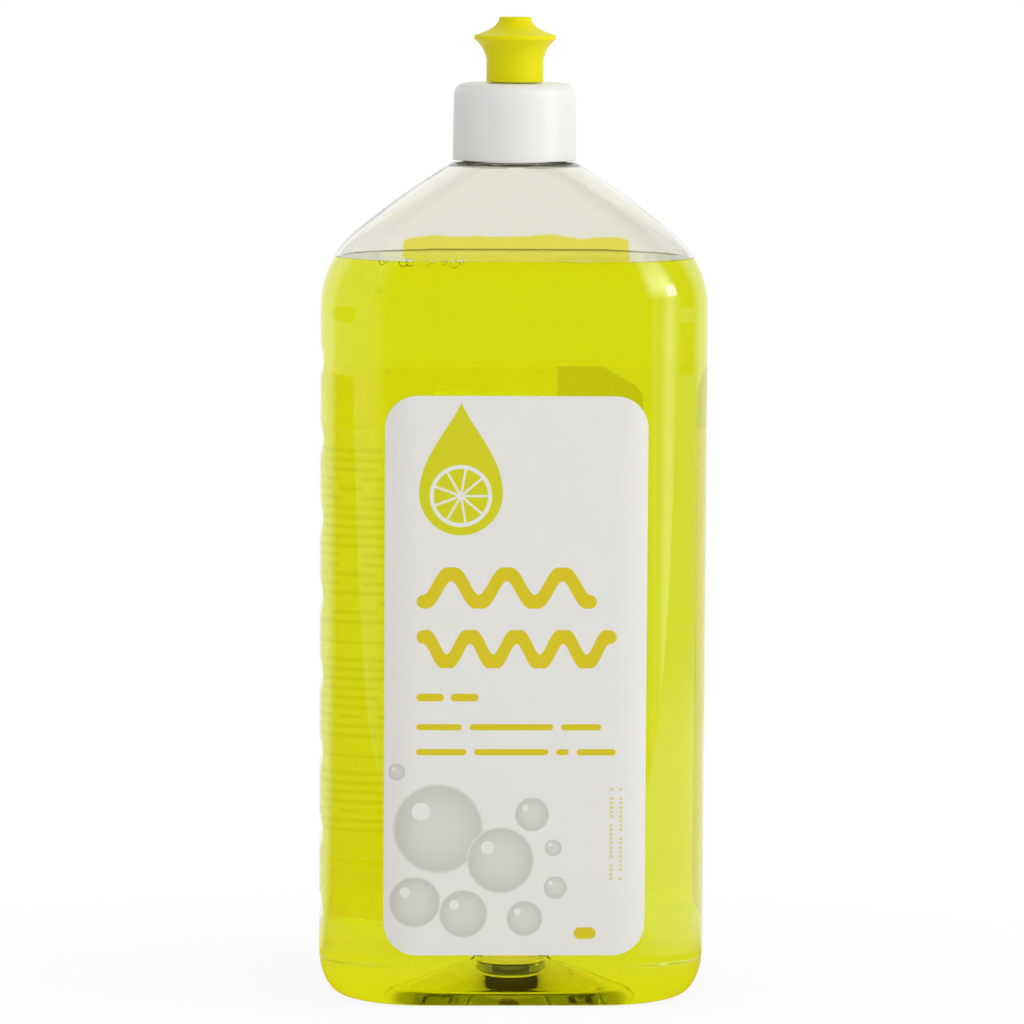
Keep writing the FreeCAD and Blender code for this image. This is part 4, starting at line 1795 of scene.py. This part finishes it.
@dataclass
class Label:
    """A label with round corners, glued to the front or back of the bottle."""

    shape: BottleShape
    side: Side
    top: float
    width: float
    shift: float = 0.0
    bottom: float = 13.9
    corner: float = 8.3
    thickness: float = 0.15
    sunk: float = 0.03
    columns: int = 96

    def _sheet(self, out: float, half_widths: Sequence[float], heights: Sequence[float]) -> np.ndarray:
        """Points of one face of the label, a distance out from the wall.

        Args:
            out: The distance.
            half_widths: Half of the width of each row of points.
            heights: Height of each row.

        Returns:
            The points, row by row.
        """
        flat = self.shape.width / 2.0 - self.shape.corner
        arc = self.shape.corner + out
        centre = self.shape.depth / 2.0 - self.shape.corner
        rows_of_points = []
        for half_width, height in zip(half_widths, heights):
            across = np.linspace(-half_width, half_width, self.columns) + self.shift
            past = np.maximum(np.abs(across) - flat, 0.0)
            deep = centre + np.sqrt(arc**2 - past**2)
            level = np.full(self.columns, height)
            rows_of_points.append(np.column_stack([across, deep * self.side.value, level]))
        return np.concatenate(rows_of_points)

    def build(self, printed: Finish, plain: Finish) -> bpy.types.Object:
        """Makes the label.

        Args:
            printed: Finish of the outside.
            plain: Finish of the glued side and the edge.

        Returns:
            The label.
        """
        corner_steps = [self.corner * (1.0 - math.cos(math.pi / 2.0 * step / 14.0)) for step in range(15)]
        low = [self.bottom + step for step in corner_steps]
        high = [self.top - step for step in reversed(corner_steps)]
        middle = list(np.linspace(low[-1], high[0], 60))[1:-1]
        heights = low + middle + high
        half_widths = []
        for height in heights:
            past = max(self.corner - (height - self.bottom), self.corner - (self.top - height), 0.0)
            half_widths.append(self.width / 2.0 - self.corner + math.sqrt(max(self.corner**2 - past**2, 0.0)))
        outside = self._sheet(self.thickness, half_widths, heights)
        inside = self._sheet(-self.sunk, half_widths, heights)
        row_count, size = len(heights), self.columns
        offset = row_count * size
        faces, finish_of_face = [], []
        for row in range(row_count - 1):
            for column in range(size - 1):
                here = row * size + column
                square = [here, here + 1, here + size + 1, here + size]
                faces += [square, [offset + square[corner] for corner in (0, 3, 2, 1)]]
                finish_of_face += [0, 1]
        border = [row * size for row in range(row_count)]
        border += [(row_count - 1) * size + column for column in range(1, size)]
        border += [row * size + size - 1 for row in reversed(range(row_count - 1))]
        border += [column for column in reversed(range(1, size - 1))]
        for here, there in zip(border, border[1:] + border[:1]):
            faces.append([here, there, offset + there, offset + here])
            finish_of_face.append(1)
        name = "label_" + self.side.name.lower()
        made = make_object(name, np.concatenate([outside, inside]), faces, [printed, plain], finish_of_face)
        made.data.set_sharp_from_angle(angle=math.radians(40.0))
        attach(made, "bottle")
        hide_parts("front_label" if self.side is Side.FRONT else "back_label")
        return made


# Closure


@dataclass
class ScrewCap:
    """The white cap in one piece: skirt, deck, thread, post, spokes and pin."""

    bottom: float = 215.2
    top: float = 234.85
    bottom_radius: float = 15.87
    top_radius: float = 15.55
    edge_rounding: float = 3.0
    deck_underside: float = 233.6
    bore: float = 14.15
    thread_crest: float = 13.0
    post_radius: float = 5.6
    post_bore: float = 4.4
    bead_radius: float = 6.2
    bead_bottom: float = 243.65
    post_top: float = 245.25
    pin_radius: float = 1.65
    pin_top: float = 251.25
    spoke_count: int = 3
    spoke_width: float = 1.2
    spoke_height: float = 2.6
    finish: MouldedPlastic = MouldedPlastic()

    def build(self) -> list[bpy.types.Object]:
        """Makes the cap's shell, pin, spokes and thread.

        Returns:
            Those pieces.
        """
        shell_line = rounded_profile([
            (self.bottom_radius, self.bottom, 0.3),
            (self.top_radius, self.top, self.edge_rounding),
            (self.post_radius, self.top, 0.35),
            (self.post_radius, self.bead_bottom, 0.1),
            (self.bead_radius, self.bead_bottom, 0.12),
            (self.bead_radius, self.post_top, 0.5),
            (self.post_bore, self.post_top, 0.2),
            (self.post_bore, self.deck_underside, 0.2),
            (self.bore, self.deck_underside, 0.5),
            (self.bore, self.bottom, 0.25),
        ], True, 7)
        shell = turned("cap_shell", dense(shell_line, 1.5, True), self.finish, True, 160)
        pin_bottom = self.post_top - self.spoke_height
        pin_line = rounded_profile([
            (0.0, pin_bottom, 0.0),
            (self.pin_radius, pin_bottom, 0.2),
            (self.pin_radius, self.pin_top, 0.35),
            (0.0, self.pin_top, 0.0),
        ], False)
        pin = turned("cap_pin", dense(pin_line, 1.5, False), self.finish, False, 48)
        ridge = thread_ridge(
            "cap_thread", self.bore + THREAD_ROOTED, self.thread_crest, 1.2, 0.6,
            THREAD.neck_bottom - THREAD.pitch / 2.0, self.finish,
        )
        pieces = [shell, pin, self._spokes(), ridge]
        for piece in pieces:
            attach(piece, "cap")
            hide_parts("screw_cap")
        return pieces

    def _spokes(self) -> bpy.types.Object:
        """The spokes that hold the pin in the post.

        Returns:
            The spokes.
        """
        growth = Growth("cap_spokes")
        count = growth.size("Count", self.spoke_count, "Int")
        reach = (self.post_bore + self.post_radius) / 2.0
        start = self.pin_radius * 0.5
        size = ((reach - start) * MM, self.spoke_width * MM, self.spoke_height * MM)
        middle = ((reach + start) / 2.0 * MM, 0.0, (self.post_top - self.spoke_height / 2.0) * MM)
        block = growth.node(
            "GeometryNodeMeshCube", {"Size": size, "Vertices X": 4, "Vertices Y": 2, "Vertices Z": 3}
        )
        moved = growth.node("GeometryNodeTransform", {"Geometry": block.outputs[0], "Translation": middle})
        points = growth.node("GeometryNodePoints", {"Count": count})
        index = growth.node("GeometryNodeInputIndex")
        step = FULL_TURN / self.spoke_count
        turn = growth.node("ShaderNodeMath", {0: index.outputs[0], 1: step}, operation="MULTIPLY")
        angles = growth.node("ShaderNodeCombineXYZ", {"Z": turn.outputs[0]})
        placed = growth.node("GeometryNodeInstanceOnPoints", {
            "Points": points.outputs[0], "Instance": moved.outputs[0], "Rotation": angles.outputs[0],
        })
        made = growth.grow("cap_spokes", placed.outputs[0], self.finish)
        made.data.set_sharp_from_angle(angle=math.radians(40.0))
        return made


@dataclass
class Spout:
    """The yellow push-pull spout that slides on the cap's post."""

    bottom: float = 235.15
    top: float = 251.75
    shank_radius: float = 7.3
    shank_height: float = 5.7
    flange_radius: float = 10.5
    flange_height: float = 11.0
    flange_rim: float = 0.9
    tip_radius: float = 4.2
    tip_straight: float = 0.9
    outlet_radius: float = 1.9
    outlet_length: float = 1.5
    land_radius: float = 5.85
    land_height: float = 2.6
    chamber_radius: float = 6.45
    chamber_top: float = 245.55
    finish: MouldedPlastic = MouldedPlastic(
        name="spout_yellow", colour=(231.0, 222.0, 0.0), shade=(226.0, 215.0, 0.0), roughness=0.42,
        shine=0.15, milk=0.35, milk_depth=(2.0, 1.6, 0.3),
    )

    def build(self) -> bpy.types.Object:
        """Makes the spout.

        Returns:
            The spout.
        """
        shank_end = self.bottom + self.shank_height
        flange = self.bottom + self.flange_height
        reach = self.flange_radius - self.shank_radius
        rise = flange - shank_end
        under = spline([
            (self.shank_radius, shank_end),
            (self.shank_radius + 0.24 * reach, shank_end + 0.45 * rise),
            (self.shank_radius + 0.56 * reach, shank_end + 0.74 * rise),
            (self.flange_radius, flange),
        ], 16)
        over_base = flange + self.flange_rim
        over_rise = self.top - self.tip_straight - over_base
        over_reach = self.flange_radius - self.tip_radius
        cone = spline([
            (self.flange_radius, over_base),
            (self.tip_radius + 0.42 * over_reach, over_base + 0.36 * over_rise),
            (self.tip_radius + 0.13 * over_reach, over_base + 0.7 * over_rise),
            (self.tip_radius, self.top - self.tip_straight),
        ], 16)
        corners = [(radius, height, 0.0) for radius, height in under[:-1]]
        corners.append((*under[-1], 0.3))
        corners.append((*cone[0], 0.42))
        corners += [(radius, height, 0.0) for radius, height in cone[1:]]
        corners += [
            (self.tip_radius, self.top, 0.8),
            (self.outlet_radius, self.top, 0.25),
            (self.outlet_radius, self.top - self.outlet_length, 0.1),
            (self.chamber_radius, self.chamber_top, 0.3),
            (self.chamber_radius, self.bottom + self.land_height, 0.05),
            (self.land_radius, self.bottom + self.land_height, 0.05),
            (self.land_radius, self.bottom, 0.15),
            (self.shank_radius, self.bottom, 0.25),
        ]
        line = dense(rounded_profile(corners, True, 5), 1.2, True)
        made = turned("spout_shell", line, self.finish, True, 144)
        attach(made, "spout")
        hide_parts("spout")
        return made


# Studio


WHITE = (1.0, 1.0, 1.0, 1.0)


@dataclass
class Softbox:
    """A large flat lamp that faces the bottle."""

    name: str
    place: tuple[float, float, float]
    width: float
    height: float
    brightness: float
    aim: tuple[float, float, float] = (0.0, 0.0, 130.0)
    mirrored: bool = True

    def build(self) -> bpy.types.Object:
        """Makes the lamp, whose face has the given brightness.

        Returns:
            The lamp.
        """
        lamp = bpy.data.lights.new(self.name, "AREA")
        lamp.shape = "RECTANGLE"
        lamp.size = self.width * MM
        lamp.size_y = self.height * MM
        lamp.energy = self.brightness * math.pi * lamp.size * lamp.size_y
        made = bpy.data.objects.new(self.name, lamp)
        made.location = Vector(self.place) * MM
        made.rotation_euler = (Vector(self.aim) - Vector(self.place)).to_track_quat("-Z", "Y").to_euler()
        made.visible_camera = False
        made.visible_glossy = self.mirrored
        made.visible_transmission = self.mirrored
        bpy.context.scene.collection.objects.link(made)
        return made


@dataclass(frozen=True)
class Glow:
    """A soft-edged bright area of the surroundings that only mirror-like faces show.

    Its edges are turns in degrees from straight ahead of the bottle and heights in degrees over the horizon.
    """

    left: float
    right: float
    bottom: float
    top: float
    softness: float
    brightness: float

    def level(self, sheet: Sheet, turn: Wire, rise: Wire) -> Wire:
        """The area's brightness in a direction.

        Args:
            sheet: The world's node sheet.
            turn: Turn of the direction from straight ahead, in radians.
            rise: The direction's height as a sine.

        Returns:
            The brightness.
        """
        soft = self.softness
        sides = self._step(turn, self.left, soft) * self._step(turn, self.right, soft).complement()
        low, high = (math.sin(math.radians(angle)) for angle in (self.bottom, self.top))
        soft_rise = math.sin(math.radians(soft))
        over_low = rise.between(low - soft_rise, low + soft_rise)
        over_high = rise.between(high - soft_rise, high + soft_rise)
        return sides * over_low * over_high.complement() * self.brightness

    @staticmethod
    def _step(turn: Wire, edge: float, soft: float) -> Wire:
        """A soft step at an edge given in degrees."""
        return turn.between(math.radians(edge - soft), math.radians(edge + soft))


@dataclass
class Studio:
    """White surroundings, a pale floor, softboxes and the camera."""

    camera_place: tuple[float, float, float] = (-52.35, -1499.1, 284.0)
    camera_aim: tuple[float, float, float] = (-0.08, 0.0, 124.26)
    camera_roll: float = -0.34
    focal_length: float = 205.3
    surround: float = 0.66
    back_lead: float = 1.4
    front_lead: float = 0.14
    right_lead: float = 0.06
    front_gloss: float = 0.02
    front_through: float = 0.8
    front_colour: Colour = (1.0, 0.97, 0.92)
    ceiling: float = 0.45
    floor_colour: float = 0.9
    floor_front: float = -0.3
    floor_reach: float = 2.0
    floor_glow: float = 0.9
    floor_corners: int = 96
    shadow_near: float = 0.05
    shadow_far: float = 0.2
    mirror_near: float = 0.14
    mirror_far: float = 0.19
    # Colour of the painted amber light on the floor under the bottle, and its strength in reflections.
    painted_amber_light_colour: Colour = (0.9, 0.62, 0.01)
    painted_amber_light_in_gloss: float = 0.7
    softboxes: tuple[Softbox, ...] = (
        Softbox("right_softbox", (1074.0, -412.0, 650.0), 792.0, 900.0, 1.35, mirrored=False),
        Softbox("right_core", (1060.0, -294.0, 520.0), 260.0, 260.0, 8.0),
        Softbox("front_fill", (500.0, -1700.0, 1300.0), 1500.0, 1200.0, 1.15, mirrored=False),
        Softbox("back_fill", (0.0, 1900.0, 500.0), 1500.0, 1200.0, 2.2, mirrored=False),
    )
    glows: tuple[Glow, ...] = (
        Glow(-125.0, -46.0, -20.0, 62.0, 13.0, 0.5),
        Glow(46.0, 86.0, -20.0, 18.0, 5.0, 0.42),
        Glow(62.0, 78.0, -20.0, 30.0, 6.0, 1.6),
        Glow(43.0, 80.0, 17.0, 45.0, 10.0, 4.0),
    )

    def build(self) -> None:
        """Makes the surroundings, the floor, the lamps and the camera."""
        self._surroundings()
        self._floor()
        for softbox in self.softboxes:
            softbox.build()
        self._camera()
        scene = bpy.context.scene
        scene.view_settings.view_transform = "Standard"
        scene.cycles.max_bounces = 20
        scene.cycles.transmission_bounces = 18
        scene.cycles.glossy_bounces = 14

    def _surroundings(self) -> None:
        """A white world, plainer for the light on dull faces and dark in front for what shines."""
        world = bpy.data.worlds.new("studio")
        sheet = emptied_sheet(world)
        across, deep, up = sheet.split(sheet.node("ShaderNodeTexCoord").outputs["Generated"])
        camera, through, glossy = self._rays(sheet)
        rest = (camera + through + glossy).complement()
        behind = deep.between(-0.1, 0.35)
        seen_through = behind * (1.0 - self.front_through) + self.front_through
        backdrop = sheet.remap(up, 0.35, 0.8, 1.0, self.ceiling) * seen_through
        mirrored = sheet.remap(deep, 0.3, 0.62, self.front_gloss, 1.0)
        turn = sheet.math("ARCTAN2", across, deep * -1.0)
        for glow in self.glows:
            mirrored = mirrored + glow.level(sheet, turn, up)
        soft = across * self.right_lead - deep * self.front_lead + self.surround
        dull = Wire(sheet, sheet.node("ShaderNodeLightPath").outputs["Is Diffuse Ray"])
        backlight = through * dull * deep.at_least(0.0) * self.back_lead
        level = camera + through * backdrop + backlight + glossy * mirrored + rest * soft
        background = sheet.node("ShaderNodeBackground")
        warm = sheet.blend(through * behind.complement(), WHITE, (*self.front_colour, 1.0))
        sheet.feed(background.inputs["Color"], warm)
        sheet.feed(background.inputs["Strength"], level)
        output = sheet.node("ShaderNodeOutputWorld")
        sheet.feed(output.inputs["Surface"], background.outputs[0])
        bpy.context.scene.world = world

    @staticmethod
    def _rays(sheet: Sheet) -> tuple[Wire, Wire, Wire]:
        """Tells the rays apart that reach the surroundings, each by a number that is 1 for its own kind.

        Args:
            sheet: The sheet of the world or the floor.

        Returns:
            The camera's own rays, those that come through something clear and those off something shiny.
        """
        path = sheet.node("ShaderNodeLightPath")
        camera = Wire(sheet, path.outputs["Is Camera Ray"])
        through = Wire(sheet, path.outputs["Is Transmission Ray"]) * camera.complement()
        glossy = Wire(sheet, path.outputs["Is Glossy Ray"]) * (camera + through).complement()
        return camera, through, glossy

    def _floor(self) -> None:
        """A wide pale floor that the camera sees as white, with the bottle's soft shadow, and painted light
        that only clear and shiny faces see: an amber glow under the bottle, and brighter floor to its right
        and behind it.
        """
        material = bpy.data.materials.new("floor")
        sheet = emptied_sheet(material)
        camera, through, glossy = self._rays(sheet)
        across, deep, _ = sheet.split(sheet.place())
        out = across.hypot(deep)
        from_bottle = (across * 0.7).hypot(deep)
        in_the_open = from_bottle.between(0.03, 0.11)
        # Painted light on the floor that only shiny faces see: brighter on the right of the bottle, fading
        # further out, brighter behind it, and dim close around it.
        right = across.between(0.04, 0.14) * (out.between(0.45, 0.8) * -0.65 + 1.1)
        painted_near_floor_light = out.between(self.mirror_far, self.mirror_near) * 0.2
        mirrored = right.at_least(painted_near_floor_light).at_least((deep / out).between(0.3, 0.62))
        # Painted amber light under the bottle, standing in for the light that the soap lets through onto the
        # floor: full strength for rays through clear faces, weaker in reflections.
        mirrored = mirrored.at_least(in_the_open.complement() * self.painted_amber_light_in_gloss)
        under = sheet.blend(in_the_open, (*self.painted_amber_light_colour, 1.0), WHITE)
        glow = sheet.node("ShaderNodeEmission")
        sheet.feed(glow.inputs["Color"], sheet.blend(through + glossy, WHITE, under))
        sheet.feed(glow.inputs["Strength"], camera + through + glossy * mirrored)
        dull = sheet.node("ShaderNodeBsdfDiffuse")
        dull.inputs["Color"].default_value = (self.floor_colour, self.floor_colour, self.floor_colour, 1.0)
        clear = from_bottle.between(self.shadow_near, self.shadow_far)
        share = camera * (clear * (1.0 - self.floor_glow) + self.floor_glow) + through + glossy
        output = sheet.node("ShaderNodeOutputMaterial")
        sheet.feed(output.inputs["Surface"], sheet.mix_shaders(share, dull.outputs[0], glow.outputs[0]))
        mesh = bpy.data.meshes.new("floor")
        turns = [FULL_TURN * step / self.floor_corners for step in range(self.floor_corners)]
        reach, front = self.floor_reach, self.floor_front
        edge = [(reach * math.cos(turn), max(reach * math.sin(turn), front), 0.0) for turn in turns]
        mesh.from_pydata(edge, [], [range(len(edge))])
        mesh.materials.append(material)
        floor = bpy.data.objects.new("floor", mesh)
        floor.location = (0.0, 0.0, -0.0002)
        bpy.context.scene.collection.objects.link(floor)

    def _camera(self) -> None:
        """The camera at the photograph's place, with its slight roll."""
        data = bpy.data.cameras.new("camera")
        data.lens = self.focal_length
        data.sensor_width = 36.0
        data.clip_start = 0.05
        data.clip_end = 60.0
        camera = bpy.data.objects.new("camera", data)
        sight = (Vector(self.camera_aim) - Vector(self.camera_place)).normalized()
        facing = sight.to_track_quat("-Z", "Y")
        camera.rotation_mode = "QUATERNION"
        camera.rotation_quaternion = Quaternion(sight, math.radians(self.camera_roll)) @ facing
        camera.location = Vector(self.camera_place) * MM
        bpy.context.scene.collection.objects.link(camera)
        bpy.context.scene.camera = camera


def report(pieces: Iterable[bpy.types.Object]) -> None:
    """Logs the name and face count of each piece."""
    for piece in pieces:
        LOG.info("%s: %d faces", piece.name, len(piece.data.polygons))


def main() -> None:
    """Builds the bottle, its soap, labels and closure, and the studio."""
    logging.basicConfig(level=logging.INFO)
    shape = BottleShape()
    soap_level = SoapLevel()
    report(Bottle(shape, soap_level).build())
    report(SoapFill(shape, soap_level).build())
    front_print = LabelFilm(name="label_front_print", inks=FRONT_PRINT, bubbles=FRONT_BUBBLES)
    front_glue = LabelFilm(name="label_front_glue")
    back_print = LabelFilm(
        name="label_back_print", side=Side.BACK, inks=BACK_PRINT, translucent=0.6, paper=CLEAR_PAPER
    )
    back_glue = LabelFilm(
        name="label_back_glue", let_through=1.0, bending=1.001, roughness=0.02, paper=(255.0, 255.0, 255.0)
    )
    front = Label(shape, Side.FRONT, 157.0, 66.6)
    back = Label(shape, Side.BACK, 161.0, 62.6, -1.4)
    report([front.build(front_print, front_glue), back.build(back_print, back_glue)])
    report(ScrewCap().build())
    report([Spout().build()])
    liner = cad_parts["liner"]
    liner.data.materials.clear()
    liner.data.materials.append(Foam().material())
    Studio().build()


if __name__ == "__main__":
    main()
